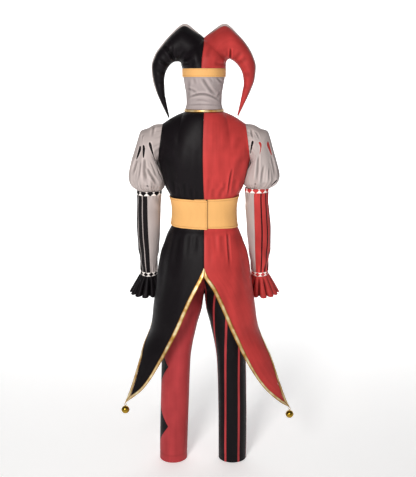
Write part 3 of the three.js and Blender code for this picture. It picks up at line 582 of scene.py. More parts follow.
def sectionPoint(section, way, turn):
    # turn 0 is the outer edge and 1 the inner one, which may stand off the middle by the seam
    depth = section[faceOf[way]]
    seam = section.get("seam" + faceOf[way].title(), section.get("seam", 0))
    closing = math.pi - np.arcsin(clamp01(seam / depth))
    edgeX = section["outerX"] - section["innerX"]
    edgeZ = section["innerDrop"] - section["outerDrop"]
    length = np.hypot(edgeX, edgeZ)
    reach = length / (1 - np.cos(closing))
    angle = turn * closing
    inwards = reach * (1 - np.cos(angle))
    x, z = section["outerX"] - edgeX / length * inwards, -section["outerDrop"] - edgeZ / length * inwards
    return points(x, section["middle"] + way * depth * np.sin(angle), z)


def sectionHeart(section):
    x, drop = section["outerX"] + section["innerX"], section["outerDrop"] + section["innerDrop"]
    return points(x / 2, section["middle"] + 0 * section["outerX"], -drop / 2)


def sectionAt(form, along):
    return {name: line(along) for name, line in form.items()}


def neckEdge(turn):
    dip = 36 * clamp01(-np.cos(turn)) ** 1.5
    return points(coat["neckHalfWidth"] * np.sin(turn), -coat["neckHalfDepth"] * np.cos(turn), -5 - dip)


def turnOf(share, way):
    # from the middle of the back or the front to the side
    return share * quarterTurn if way < 0 else math.pi - share * quarterTurn


def bodiceTop(u, way):
    neck = neckEdge(turnOf(clamp01(u / coat["neckShare"]), way))
    t = clamp01((u - coat["neckShare"]) / (1 - coat["neckShare"]))
    side = neckEdge(np.array(quarterTurn))
    z = mix(side[2], -armhole["outerDrop"], t) + 4 * np.sin(math.pi * t)
    shoulder = points(mix(side[0], armhole["outerX"], t), 0 * t, z)
    return np.where((u <= coat["neckShare"])[..., None], neck, shoulder)


def bodicePoint(u, level, way):
    across = clamp01(u)
    turn = turnOf(across, way)
    low = coatPoint(turn, mix(coat["waistDrop"], coat["underarmDrop"], np.minimum(level, 1)))
    w = clamp01(level - 1)
    shares = np.stack([w, 1 - np.cos(w * quarterTurn), np.sin(w * quarterTurn)], axis=-1)

    def domed(turn, share):
        bottom = coatPoint(turn, coat["underarmDrop"] + 0 * u)
        return bottom + (bodiceTop(share, way) - bottom) * shares

    arm = sectionPoint(armhole, way, 1 - w)
    dome = domed(turn, across) + (arm - domed(quarterTurn + 0 * u, 1 + 0 * u)) * (across**2.5)[..., None]
    return np.where((level <= 1)[..., None], low, dome)


def strayed(p):
    # the seam down the back bends a little to the wearer's left
    near = np.exp(-((p[..., 0] / 60) ** 2)) * (p[..., 1] < 0)
    bend = -4.5 * np.sin(math.pi * clamp01((-p[..., 2] - 5) / 325))
    return p + points(near * bend, 0, 0)


# folds that show on the back, by x and height: start, end, depth, width, bend
bodiceCreases = {
    "right": [
        [106, -212, 90, -328, 4.5, 4, 0], [79, -262, 76, -318, 1.3, 7, 0], [72, -282, 60, -333, 1.8, 7, 2],
        [122, -250, 114, -333, 1.6, 9, 3], [150, -160, 128, -290, 2.2, 16, 8],
        [18, -240, 15, -334, 1.0, 8, 0], [36, -286, 33, -335, 1.3, 7, 2], [70, -110, 62, -260, 0.9, 16, 3],
        [28, -120, 26, -280, 0.8, 14, 0], [132, -92, 112, -150, 0.9, 12, -4],
        [48, -70, 46, -200, 0.6, 13, 2], [92, -60, 86, -170, 0.7, 14, 2],
    ],
    "left": [
        [-76, -262, -72, -333, 2.4, 6, 2], [-126, -256, -116, -333, 2.6, 8, -3],
        [-100, -276, -94, -334, 1.8, 6, -2], [-50, -286, -46, -334, 1.8, 6, 2],
        [-28, -296, -27, -335, 1.4, 6, 0], [-146, -160, -124, -300, 2.6, 16, -8],
        [-64, -120, -58, -250, 1.2, 15, -3], [-20, -130, -24, -270, 0.9, 13, 3],
        [-130, -96, -108, -150, 1.2, 11, 4], [-96, -80, -88, -190, 0.9, 14, 3],
    ],
}


def makeBodice(side, way):
    sign = sideSign[side]
    shown = bodiceCreases[side if way < 0 else otherSide[side]]
    taps = ((-1, 1), (-0.67, 2), (-0.33, 3), (0, 4), (0.33, 3), (0.67, 2), (1, 1))

    def shape(u, level):
        # a mean of nearby levels rounds the turn into the shoulders
        near = 0.13 * bump((level - 1) / 0.32)
        mean = sum(share * bodicePoint(u, level + step * near, way) for step, share in taps) / 16
        return strayed(mirrored(mean, sign)) + np.array([sign * gap, way * gap, 0])

    def heart(u, level):
        drop = np.where(level <= 1, mix(coat["waistDrop"], coat["underarmDrop"], level), coat["underarmDrop"])
        return points(0 * u, 0 * u, -drop)

    def relief(p, u, level):
        x = p[..., 0] if way < 0 else -p[..., 0] * 0.93
        pressed = pressFolds(x, p[..., 2], shown) * smoothStep(2.0, 1.6, level)
        edge = seamRoll(u * 190, 1.0) + seamRoll((1 - u) * 200, 0.8) * smoothStep(1.05, 0.9, level)
        return (pressed + rumple(p, 130, 0.6, 3)) * smoothStep(0, 0.06, 1 - u + 0.02) + edge

    low = np.linspace(0.0018, 1, int(46 * fineness), endpoint=False)
    rows = np.concatenate([low, np.linspace(1, 2, int(42 * fineness))])
    sew(f"coat_{faceOf[way]}_{side}", finishes[colourOf[side]], shape, heart, (68, 0),
        (0.265, 0.45), "stretched", ["hoodBack"], 0.082, relief=relief, rows=rows)


for side in sides:
    makeBodice(side, -1)
    makeBodice(side, 1)
print("coat body made")

# the tip's drop; then, along the drop, how far the inner edge stands off and the turn of the outer edge
tailForms = {
    "left": (1162, readForm("drop free outerTurn", [
        [570, -25, 90], [627, 2, 90], [721, 50, 90], [862, 111, 90], [983, 176, 67.5], [1089, 243, 63],
        [1162, 319, 61.4],
    ])),
    "right": (1189, readForm("drop free outerTurn", [
        [570, -26, 90], [627, 0, 90], [677, 33, 90], [862, 114, 90], [953, 157, 77], [1076, 231, 70],
        [1155, 305, 67], [1189, 348, 66.8],
    ])),
}
tailCreases = {
    "right": [
        [90, -455, 99, -592, 5.2, 4.2, 0], [66, -456, 72, -560, 1.4, 9, 2], [40, -456, 44, -540, 1.0, 8, 0],
        [120, -458, 152, -760, 2.2, 18, -6], [22, -456, 20, -600, 0.9, 10, 0],
        [128, -640, 210, -1000, 2.0, 22, 6], [60, -640, 120, -930, 1.2, 18, 4],
    ],
    "left": [
        [-60, -456, -70, -560, 1.6, 9, 2], [-92, -456, -118, -640, 2.4, 12, 3],
        [-122, -458, -158, -780, 2.6, 18, 6], [-34, -456, -36, -540, 1.2, 9, 0],
        [-110, -620, -200, -1010, 2.4, 22, -6],
    ],
}


def tailEdges(form, drop):
    reach = coatForm["halfWidth"](drop)
    free = form["free"](drop)
    slope = (form["free"](drop + 4) - form["free"](drop - 4)) / 8
    run = coat["trimWidth"] * mix(1, 0.66, smoothStep(860, 1060, drop)) * np.sqrt(1 + slope * slope)
    outer = np.minimum(form["outerTurn"](drop) * degree, quarterTurn)
    trimShare = clamp01((drop - coat["ventDrop"] + 12) / 30)
    inner = np.arcsin(clamp01(free / reach))
    mitre = mix(inner, outer, 0.6)
    outerLine = outer - coat["outerTrimWidth"] * trimShare / coatForm["back"](drop)
    return {
        "free": inner,
        "innerLine": np.minimum(np.arcsin(clamp01((free + run) / reach)), mitre),
        "outerLine": np.maximum(outerLine, mitre),
        "outer": outer,
    }


def tapeRoll(across):
    return -1.1 * (np.abs(2 * across - 1) ** 6) + 0.35 * np.cos(fullTurn * across)


def makeTail(side):
    (tip, form), sign, name = tailForms[side], sideSign[side], side.title()

    def strip(fromLine, toLine, first, last, lift, before=0.0, after=0.0):
        def shape(u, v):
            drop = mix(first, last, v)
            edges = tailEdges(form, drop)
            apart = smoothStep(tip - 33, tip - 42, drop)
            turn = mix(edges[fromLine], edges[toLine], mix(before * apart, 1 - after * apart, u))
            return mirrored(coatPoint(turn, drop, lift), sign) + np.array([sign * gap, -gap, 0])

        return shape, lambda u, v: bodyHeart(mix(first, last, v))

    def folded(p):
        return foldedAt(p, tailCreases[side]) + rumple(p, 160, 1.0, 5)

    def relief(p, u, v):
        z, fold = p[..., 2], folded(p)
        underBelt = fold * 0.4 * (z > -462) * smoothStep(-400, -450, z)
        return fold * smoothStep(-462, -480, z) + underBelt + seamRoll(np.abs(p[..., 0]), 1.0)

    def tapeRelief(p, u, v):
        return folded(p) * smoothStep(-462, -480, p[..., 2]) + tapeRoll(u) + rumple(p, 26, 0.35, 8) + 0.5

    lines = strip("innerLine", "outerLine", skirtTop, tip - (32 if side == "left" else 30), 0.0)
    piece = sew(f"coat_tail_{side}", finishes[colourOf[side]], *lines, (66, 130),
                (0.36, 0.80), "hung", [f"coatBack{name}"], 0.126, relief=relief)
    for label, edges, start, ends, wide, spare in (
        ("inner", ("free", "innerLine"), 592, (0.0, 0.03), 0.017, 1.2),
        ("outer", ("outerLine", "outer"), coat["ventDrop"] - 4, (0.04, 0.0), 0.013, 1.14),
    ):
        sew(f"tail_trim_{side}_{label}", finishes["gold"], *strip(*edges, start, tip, 0.7, *ends),
            (8, (tip - start) / 4), (wide, (tip - start) * mm * spare), "stretched", [piece],
            wall=1.8, relief=tapeRelief, uv=stripUv)


frontCreases = [
    [40, -456, 52, -600, 2.2, 10, -3], [78, -456, 100, -660, 2.8, 12, -4],
    [112, -458, 146, -740, 2.6, 15, -6], [20, -456, 22, -560, 1.4, 9, 0],
]


def frontHem(turn):
    share = clamp01((math.pi - turn) / quarterTurn)
    return coat["frontApexDrop"] + (coat["ventDrop"] - coat["frontApexDrop"]) * share**0.85


def makeFrontSkirt(side):
    sign, name = sideSign[side], side.title()

    def strip(top, bottom, lift):
        def shape(u, v):
            turn = turnOf(u, 1)
            p = mirrored(coatPoint(turn, mix(top(turn), bottom(turn), v), lift), sign)
            return p + np.array([sign * gap, gap, 0])

        return shape, lambda u, v: bodyHeart(-shape(u, v)[..., 2])

    def trimDrop(turn):
        return frontHem(turn) - coat["trimWidth"] * 1.15

    def folded(p):
        pressed = pressFolds(np.abs(p[..., 0]), p[..., 2], frontCreases)
        return (pressed + rumple(p, 150, 1.2, 6)) * smoothStep(-455, -485, p[..., 2])

    def relief(p, u, v):
        return folded(p) + seamRoll(np.abs(p[..., 0]), 1.0)

    def tapeRelief(p, u, v):
        return folded(p) + tapeRoll(v) + rumple(p, 26, 0.35, 9) + 0.5

    lines = strip(lambda turn: skirtTop, lambda turn: trimDrop(turn) - 0.2, 0.0)
    piece = sew(f"coat_front_skirt_{side}", finishes[colourOf[side]], *lines, (50, 84),
                (0.28, 0.47), "hung", [f"coatFront{name}"], 0.075, relief=relief)
    sew(f"front_trim_{side}", finishes["gold"], *strip(trimDrop, frontHem, 0.7), (90, 8),
        (0.0135, 0.39), "stretched", [piece], wall=1.8, relief=tapeRelief, uv=stripUvDown)


for side in sides:
    makeTail(side)
    makeFrontSkirt(side)
print("coat skirt made")


def makeNeckTrim():
    # a soft gold piping round the neck edge
    def shape(u, v):
        edge = neckEdge(u * fullTurn)
        lean = 1 - 0.012 * v
        return points(edge[..., 0] * lean, edge[..., 1] * lean, edge[..., 2] + 0.6 + v * 10.4)

    def heart(u, v):
        return points(0 * u, 0 * u, shape(u, v)[..., 2])

    def relief(p, u, v):
        return 2.6 * np.sqrt(clamp01(1 - (2 * v - 1) ** 2)) - 1.2 + rumple(p, 22, 0.25, 4)

    sew("neck_trim", finishes["gold"], shape, heart, (220, 10), (0.484, 0.0122), "stretched",
        ["coatBackLeft", "coatBackRight"], wall=1.6, ring=True, relief=relief, uv=stripUvDown)


makeNeckTrim()

# belt
belt = {
    "top": 333, "bottom": 453, "backRise": 7, "outerEnd": 5, "innerEnd": -16, "liftedFor": 70,
    "sag": 4, "wall": 2.3, "gap": 3.4, "width": 118, "length": 880, "hem": 6.5, "lapHem": 7,
}


def beltPoint(u, v, extra=0.0):
    turn = mix(belt["innerEnd"], 360 + belt["outerEnd"], u) * degree
    climbed = clamp01((turn / degree - (360 - belt["liftedFor"])) / (belt["liftedFor"] - 20))
    sag = belt["sag"] * clamp01((turn / degree - 330) / 36)
    bottom = belt["bottom"] - belt["backRise"] * clamp01(np.cos(turn)) ** 2
    aside, low, high = np.sin(turn) ** 2, clamp01(1 - v), clamp01(v)
    lift = belt["gap"] + 3.3 * climbed + extra + aside * (3.4 * high**5 + 1.6 * low**5)
    rise = 3.5 * aside * high**2 * (np.sin(turn) > 0) + 9 * aside**1.5 * low * (np.sin(turn) < 0)
    return coatPoint(turn, mix(bottom, belt["top"], v) + sag - rise, lift)


def makeBelt():
    def relief(p, u, v):
        edge, end = toEdge(v) * belt["width"], (1 - u) * belt["length"]
        stitched = -0.8 * swell(edge, 1.5, belt["hem"]) + 0.7 * swell(edge, 2.2, 3) - 0.7 * swell(edge, 1.4)
        ends = -0.6 * swell(toEdge(u) * belt["length"], 1.6) - 0.5 * swell(end, 1.6, belt["lapHem"])
        return stitched + ends + rumple(p, 90, 0.45, 12)

    def heart(u, v):
        return bodyHeart(mix(belt["bottom"], belt["top"], v))

    def shade(p, u, v):
        # the shadow of the lapped end on the end below it
        under = u * 381 - 21 + 0.6
        return -2.4 * swell(under, 1.6) - 0.6 * swell((1 - u) * belt["length"], 2)

    ends = [np.linspace(0, 0.1, 10, endpoint=False), np.linspace(0.1, 0.9, 20, endpoint=False)]
    ends.append(np.linspace(0.9, 1, 11))
    sew("belt", finishes["ochre"], beltPoint, heart, (300, 0), (0.822, 0.117), "stretched",
        ["coatBackLeft", "coatBackRight"], name="beltCloth", wall=belt["wall"], relief=relief,
        shade=shade, rows=np.concatenate(ends))


makeBelt()
print("belt made")

# sleeves
puffForm = readForm("along outerX outerDrop innerX innerDrop back front middle", [
    [0, 160, 50, 178, 195, 58, 52, 0], [0.12, 192, 56, 181, 203, 66, 62, 2],
    [0.24, 220, 69, 182, 212, 72, 69, 4], [0.35, 246, 79, 172, 224, 76, 73, 6],
    [0.46, 257, 105, 163, 239, 79, 76, 8], [0.61, 272, 155, 156, 256, 82, 79, 10],
    [0.75, 287, 207, 153, 272, 84, 81, 12], [0.87, 297, 260, 155, 288, 81, 79, 13],
    [0.95, 288, 294, 160, 301, 66, 65, 14], [1, 260.5, 314, 170, 314, 45, 44, 15],
])
puff = {
    "gathers": 10, "atBand": 5, "atArmhole": 2.2, "around": 480, "along": 280,
    "longPleats": 19, "shortPleats": 37,
}
sleeves = {
    "left": {"elbowRise": 0, "seamAtElbow": 0.235, "seamAtWrist": 0.285},
    "right": {"elbowRise": 11, "seamAtElbow": 0.297, "seamAtWrist": 0.337},
}
# slashes: start and end of each in turns round the puff and share along it, then half width in mm
slashTables = {
    "left": [
        [0.133, 0.4875, 0.116, 0.66, 8.2, "black"], [0.172, 0.41, 0.191, 0.57, 9.2, "black"],
        [0.195, 0.245, 0.397, 0.235, 3.6, "black"], [0.345, 0.39, 0.425, 0.83, 2.9, "black"],
        [0.868, 0.47, 0.884, 0.64, 5.4, "black"], [0.812, 0.39, 0.79, 0.55, 5.8, "black"],
        [0.8, 0.25, 0.6, 0.345, 4.8, "black"],
    ],
    "right": [
        [0.211, 0.1125, 0.34, 0.035, 3.2, "black"], [0.19, 0.2575, 0.24, 0.43, 4.6, "red"],
        [0.118, 0.44, 0.102, 0.62, 9.2, "red"], [0.098, 0.8875, 0.139, 0.965, 4.0, "black"],
        [0.802, 0.27, 0.74, 0.415, 4.6, "red"], [0.87, 0.44, 0.884, 0.62, 5.4, "red"],
        [0.81, 0.5, 0.77, 0.65, 4.8, "red"],
    ],
}
# creases of the puffs: start and end as for the slashes, then depth, width and bend in mm
puffCreases = {
    "left": [
        [0.123, 0.65, 0.106, 0.8375, 5, 6, 2], [0.204, 0.5475, 0.262, 0.895, 6, 7, -3],
        [0.228, 0.6425, 0.376, 0.9, 6, 7, 4], [0.175, 0.63, 0.188, 0.9075, 3, 5, 0],
        [0.27, 0.5025, 0.341, 0.7075, 3, 6, 3], [0.1, 0.2975, 0.145, 0.45, 2.5, 5, 0],
        [0.35, 0.305, 0.403, 0.7325, 4, 7, -4], [0.023, 0.13, 0.173, 0.17, 3, 6, 3],
        [0.62, 0.3, 0.59, 0.72, 3.8, 7, 4], [0.74, 0.6, 0.64, 0.9, 5.5, 7, -4],
        [0.79, 0.56, 0.74, 0.89, 5, 6, 3], [0.884, 0.65, 0.9, 0.85, 4.5, 6, 0],
        [0.83, 0.64, 0.82, 0.91, 3, 5, -2], [0.7, 0.45, 0.66, 0.66, 2.6, 6, 2],
        [0.96, 0.2, 0.93, 0.52, 2.6, 7, 3], [0.02, 0.5, 0.04, 0.88, 3.4, 6, -2],
    ],
    "right": [
        [0.26, 0.41, 0.313, 0.88, 6, 7, -3], [0.114, 0.61, 0.116, 0.8675, 4, 6, 0],
        [0.386, 0.3225, 0.443, 0.7875, 5, 7, 3], [0.294, 0.27, 0.436, 0.3725, 3.5, 6, 2],
        [0.214, 0.6325, 0.268, 0.9175, 3, 5, 3], [0.103, 0.0725, 0.203, 0.105, 3.5, 5, 2],
        [0.115, 0.1475, 0.172, 0.2425, 2.5, 5, 0], [0.167, 0.7175, 0.205, 0.9275, 3, 5, 2],
        [0.05, 0.55, 0.03, 0.9, 3.2, 6, -2], [0.61, 0.34, 0.56, 0.76, 4.4, 7, -3],
        [0.74, 0.42, 0.69, 0.88, 5.4, 7, 3], [0.884, 0.63, 0.89, 0.88, 4, 6, 0],
        [0.83, 0.66, 0.79, 0.9, 3.4, 5, -2], [0.95, 0.24, 0.91, 0.55, 2.8, 7, 3],
        [0.68, 0.28, 0.58, 0.36, 3, 6, 2],
    ],
}
# small knots where the slashes are tied down, in turns and share
puffKnots = {"left": [(0.263, 0.915), (0.73, 0.9)], "right": [(0.32, 0.895), (0.705, 0.91)]}


def ringPoint(section, turn):
    whole = turn % 1
    near, far = sectionPoint(section, -1, whole * 2), sectionPoint(section, 1, 2 - whole * 2)
    return np.where((whole <= 0.5)[..., None], near, far)


def puffBase(turn, along):
    section = sectionAt(puffForm, clamp01(along))
    p = ringPoint(section, turn)
    inwards = unit(p - sectionHeart(section), 1e-6)
    atBand = clamp01((along - 0.5) / 0.42) ** 1.5 * (1 - 0.75 * clamp01((along - 0.93) / 0.07))
    depth = puff["atBand"] * atBand + puff["atArmhole"] * bump((along - 0.1) / 0.14)
    wave = np.cos(puff["gathers"] * turn * fullTurn + 0.6) - 0.35
    return p + inwards * (depth * wave * (1 - 0.85 * towardsBody(turn)))[..., None]


def towardsBody(turn):
    return clamp01(-np.cos(turn * fullTurn))


def pressAround(turn, along, creases):
    total = 0.0
    around, down = puff["around"], puff["along"]
    for t0, a0, t1, a1, *form in creases:
        middle = (t0 + t1) / 2
        near = (wrapped(turn - middle) + middle) * around
        line = [t0 * around, a0 * down, t1 * around, a1 * down, *form]
        total = total + pressFolds(near, along * down, [line])
    return total


def puffRelief(turn, along, side):
    # fine pleats that run up from the band, uneven in place, depth and reach
    rng = np.random.default_rng(21 if side == "left" else 22)
    total = pressAround(turn, along, puffCreases[side])
    for count, reachOf, deepOf, wideOf in (
        (puff["longPleats"], (0.16, 0.45), (0.6, 2.0), (0.006, 0.012)),
        (puff["shortPleats"], (0.05, 0.13), (0.9, 2.0), (0.005, 0.007)),
    ):
        for k in range(count):
            at = (k + rng.uniform(-0.32, 0.32)) / count
            reach, deep = rng.uniform(*reachOf), rng.uniform(*deepOf)
            away = wrapped(turn - at + rng.uniform(-0.04, 0.04) * (1 - along))
            x = away / mix(*wideOf, clamp01((1 - along) / reach))
            rise = smoothStep(1 - reach, 0.975, along) * (1 - 0.4 * smoothStep(0.975, 1.0, along))
            total = total + deep * rise * (0.4 * np.exp(-((np.abs(x) - 1.7) ** 2) / 0.6) - swell(x))
    for k in range(21):
        at = (k + rng.uniform(-0.35, 0.35)) / 21
        away = wrapped(turn - at + rng.uniform(-0.06, 0.06) * along)
        rise = smoothStep(rng.uniform(0.16, 0.36), 0.03, along)
        total = total - rng.uniform(0.8, 2.4) * rise * swell(away, rng.uniform(0.008, 0.014))
    return total * (1 - 0.6 * towardsBody(turn))


def slashMeasures(slash):
    # start, half width, steps in turn and share, millimetres for each unit of these,
    # then the steps in millimetres and their length
    t0, a0, t1, a1, half = slash[:5]
    turn, along, step = np.array((t0 + t1) / 2), np.array((a0 + a1) / 2), 0.005
    around = np.linalg.norm(puffBase(turn + step, along) - puffBase(turn - step, along)) / 0.01
    down = np.linalg.norm(puffBase(turn, along + step) - puffBase(turn, along - step)) / 0.01
    dt, da = wrapped(t1 - t0), a1 - a0
    return t0, a0, half, dt, da, around, down, dt * around, da * down, math.hypot(dt * around, da * down)


def slashHalf(t, half):
    # a teardrop: round at its top, a long point at its foot
    inside = clamp01(t)
    return half * 1.15 * np.sqrt(clamp01(inside * 7)) * (1 - inside) ** 0.5


def slashField(turn, along, slash):
    # distance from the edge of the teardrop, below 0 inside it
    t0, a0, half, dt, da, around, down, dx, dy, length = slashMeasures(slash)
    px, py = wrapped(turn - t0) * around, (along - a0) * down
    t = (px * dx + py * dy) / length**2
    across = np.abs(px * dy - py * dx) / length
    beyond = np.maximum(np.maximum(-t, t - 1), 0) * length
    return np.where(beyond > 0, np.hypot(across, beyond), across - slashHalf(t, half))


def nearKnots(turn, along, side, reach):
    total = 0.0
    for t, a in puffKnots[side]:
        aside = wrapped(turn - t) * puff["around"] / 1.5
        total = total + np.exp(-(aside**2 + ((along - a) * puff["along"]) ** 2) / reach**2)
    return total


def makePuff(side):
    sign, name, rise = sideSign[side], side.title(), sleeves[side]["elbowRise"]

    def shape(u, v):
        lifted = np.stack([sign * 0.6 * (1 - v), 0 * v, rise * clamp01((v - 0.8) / 0.2)], axis=-1)
        return mirrored(puffBase(u, v), sign) + lifted

    def heart(u, v):
        return mirrored(sectionHeart(sectionAt(puffForm, clamp01(v))), sign)

    def clothRelief(p, u, v):
        return puffRelief(u % 1, v, side) + rumple(p, 70, 0.8, 14)

    def relief(p, u, v):
        slashed = 0.0
        for slash in slashTables[side]:
            field = slashField(u % 1, v, slash)
            slashed = slashed - 3.4 * smoothStep(0.9, -1.2, field) + 0.9 * swell(field, 1.6, 2.6)
        return clothRelief(p, u, v) + slashed - 2.6 * nearKnots(u % 1, v, side, 4.0)

    def shade(p, u, v):
        return -1.9 * nearKnots(u % 1, v, side, 2.6)

    low = np.linspace(0, 0.8, int(60 * fineness), endpoint=False)
    rows = np.concatenate([low, np.linspace(0.8, 1, int(38 * fineness))])
    sew(f"sleeve_puff_{side}", finishes["grey"], shape, heart, (270, 0), (0.52, 0.26), "gathered",
        ["coatBack" + name], 0.112, ring=True, relief=relief, wall=1.2, rows=rows, shade=shade)
    for k, slash in enumerate(slashTables[side]):
        makeSlashInsert(f"slash{name}{k + 1}", f"sleevePuff{name}", shape, heart, clothRelief, slash)


def makeSlashInsert(name, onPuff, puffShape, puffHeart, clothRelief, slash):
    t0, a0, half, dt, da, around, down, dx, dy, length = slashMeasures(slash)

    def toPuff(u, v):
        wide = (slashHalf(v, half) + 0.9) * (2 * u - 1)
        return t0 + dt * v - wide * dy / length / around, a0 + da * v + wide * dx / length / down

    def shape(u, v):
        return puffShape(*toPuff(u, v))

    def heart(u, v):
        return puffHeart(*toPuff(u, v))

    def relief(p, u, v):
        return clothRelief(p, *toPuff(u, v)) - 0.9 + 1.1 * (1 - (2 * u - 1) ** 2)

    rows = 0.5 - 0.49 * np.cos(np.linspace(0, math.pi, int(26 * fineness)))
    flat = (max(half * 2.4 * mm, 0.0102), length * mm * 1.02)
    sew(None, finishes[slash[5]], shape, heart, (8, 0), flat, "stretched", [onPuff],
        length * half * 1.5 * mm * mm, name=name, relief=relief, wall=0.8, rows=rows)


for side in sides:
    makePuff(side)
print("puffs made")

arm = {"elbowTop": 313, "elbowEnd": 330, "wristTop": 653, "wristEnd": 670, "cuffEnd": 751, "frontSeam": -0.25}
cuff = {"flare": 36, "waves": 13, "depth": 10, "bodySide": 0.55}
forearmForm = readForm("drop middleX half middleY", [
    [300, 215, 46, 15], [314, 215, 46, 15], [335, 215.5, 45, 16], [400, 219.5, 45.5, 27],
    [480, 224, 45, 42], [560, 227, 41.5, 60], [620, 229, 37, 76], [652, 229.5, 34.5, 84],
    [672, 230, 35, 88], [760, 233, 40, 100],
])
# how each arm differs from the form: shift outwards and extra half width; then how far rings lean
armSet = {
    "left": readForm("drop out wider", [
        [300, 3, 3], [400, 3, 2.5], [480, 2, 2], [600, 0, 0.5], [760, 0, 0],
    ]),
    "right": readForm("drop out wider", [
        [300, -7, 0.5], [400, -5.5, 2], [480, -3, 3.5], [600, -1, 2], [660, 0, 0], [760, 0, 0],
    ]),
}
ringLean = smoothLine([300, 420, 560, 653, 760], [0, 1, 5, 7.5, 7.5])
panelWidth = 0.14
# number of diamonds, their pitch, the middle of the row and half a diamond, in metres
tapes = {
    "elbow": {"count": 11, "pitch": 0.0263, "middle": 0.0047, "half": (0.0129, 0.0125)},
    "wrist": {"count": 10, "pitch": 0.0227, "middle": 0.0086, "half": (0.0111, 0.0094)},
}
tapeFinish = {}
for side in sides:
    for label, tape in tapes.items():
        cloth = diamondCloth(f"{label}Tape{side.title()}", "tape", colourOf[side], (0, tape["middle"]),
                             tape["half"], (tape["pitch"], 0))
        tapeFinish[side, label] = (cloth, "diamond_tape")
armStripes = {
    "left": ("greyStripe", [panelWidth * (0.03 + 0.165 * k) for k in range(6)], 0.0019),
    "right": ("darkStripe", [panelWidth * (0.10 + 0.145 * k) for k in range(6)], 0.0024),
}
sleeveFolds = [
    [0.2, 0.97, 0.75, 0.72, 2.2, 0.05, 0.02], [0.8, 0.99, 0.35, 0.84, 2.0, 0.05, 0.0],
    [0.15, 0.03, 0.6, 0.18, 1.5, 0.05, 0.02], [0.5, 0.9, 0.9, 0.55, 1.4, 0.07, -0.03],
]
stripedFinish = {}
for side in sides:
    cloth = stripedCloth("striped" + colourOf[side].title(), colourOf[side], *armStripes[side])
    stripedFinish[side] = (cloth, finishes[colourOf[side]][1])


def forearmPoint(turn, drop, side, lift=0.0):
    angle = turn * fullTurn
    half = forearmForm["half"](drop) + armSet[side]["wider"](drop) + lift
    x = forearmForm["middleX"](drop) + armSet[side]["out"](drop) + half * np.cos(angle)
    return points(x, forearmForm["middleY"](drop) - half * np.sin(angle), -drop - ringLean(drop) * np.sin(angle))


def cuffPoint(turn, share):
    drop = mix(arm["wristEnd"] + 0.3, arm["cuffEnd"], share)
    whole = turn * fullTurn
    phase = cuff["waves"] * whole
    angle = whole + 0.05 * share * np.sin(phase) + 0.03 * share * np.sin(3 * whole + 1)
    flare = cuff["flare"] * share * (1 - cuff["bodySide"] * clamp01(-np.cos(angle)))
    crest = np.cos(phase) - 0.22 * np.cos(2 * phase)
    out = 36 + flare + cuff["depth"] * clamp01(share) ** 0.7 * crest * (1 + 0.18 * np.sin(4 * whole + 2))
    x = forearmForm["middleX"](drop) + out * np.cos(angle)
    y = forearmForm["middleY"](drop) - out * np.sin(angle)
    return points(x, y, -drop - mix(7.5, 8, share) * np.sin(angle) - 1.8 * share * np.cos(phase))


def makeForearm(side):
    sign, name, rise = sideSign[side], side.title(), sleeves[side]["elbowRise"]
    bandEnd = arm["elbowEnd"] - rise

    def heartBetween(first, last):
        def heart(u, v):
            drop = mix(first, last, v)
            return points(sign * forearmForm["middleX"](drop), forearmForm["middleY"](drop), -drop)

        return heart

    def makeBand(label, first, last):
        def shape(u, v):
            return mirrored(forearmPoint(u, mix(first, last, v), side, 1.2), sign)

        def relief(p, u, v):
            return -1.2 * np.abs(2 * v - 1) ** 5 + rumple(p, 24, 0.3, 15) + 0.4

        def tapeUv(u, cloth):
            return np.stack([u * tapes[label]["count"] * tapes[label]["pitch"], cloth[..., 1]], axis=-1)

        around = fullTurn * float(forearmForm["half"](last)) * mm
        sew(f"{label}_band_{side}", tapeFinish[side, label], shape, heartBetween(first, last), (150, 10),
            (around, 0.0172), "stretched", [f"forearmStriped{name}"],
            ring=True, relief=relief, wall=1.6, uv=tapeUv)

    makeBand("elbow", arm["elbowTop"] - rise + 1.0, bandEnd)
    makeBand("wrist", arm["wristTop"], arm["wristEnd"])

    def relief(p, u, v):
        edge = seamRoll(toEdge(u) * 130, 0.7, 2.0)
        atElbow = 1.0 * smoothStep(0.06, 0.0, v) * np.cos(u * 60)
        ends = atElbow + 1.6 * smoothStep(0.86, 1.0, v) * np.cos(u * 48 + 1)
        return edge + ends + pressFolds(u, v, sleeveFolds) + rumple(p, 80, 0.9, 16)

    def makePanel(kind, finish, fromTurn, toTurn, **cut):
        def shape(u, v):
            drop = mix(bandEnd + 0.2, arm["wristTop"] - 0.2, v)
            return mirrored(forearmPoint(mix(fromTurn(v), toTurn(v), u), drop, side), sign)

        sew(f"forearm_{kind}_{side}", finish, shape, heartBetween(bandEnd, arm["wristTop"]), (50, 84),
            (0.165, 0.345), "hung", [f"sleevePuff{name}"], 0.0445, relief=relief, **cut)

    def seam(v):
        return mix(sleeves[side]["seamAtElbow"], sleeves[side]["seamAtWrist"], v)

    def stripedUv(u, cloth):
        return np.stack([u * panelWidth, cloth[..., 1]], axis=-1)

    makePanel("striped", stripedFinish[side], lambda v: arm["frontSeam"] + 0 * v, seam, uv=stripedUv)
    makePanel("plain", finishes["grey"], seam, lambda v: 1 + arm["frontSeam"] + 0 * v)

    def cuffShape(u, v):
        return mirrored(cuffPoint(u, v), sign)

    def cuffRelief(p, u, v):
        return rumple(p, 60, 0.9, 17) * v + 0.5 * v * np.cos(u * fullTurn * 5 + 1)

    def cuffShade(p, u, v):
        return -1.6 * (0.5 - 0.5 * np.cos(cuff["waves"] * u * fullTurn)) ** 2.2 * smoothStep(-0.1, 0.4, v)

    sew(f"cuff_{side}", finishes[colourOf[side]], cuffShape, heartBetween(arm["wristEnd"], arm["cuffEnd"]),
        (cuff["waves"] * 18, 26), (0.62, 0.088), "gathered", [f"wristBand{name}"], 0.038,
        ring=True, relief=cuffRelief, wall=1.1, shade=cuffShade)


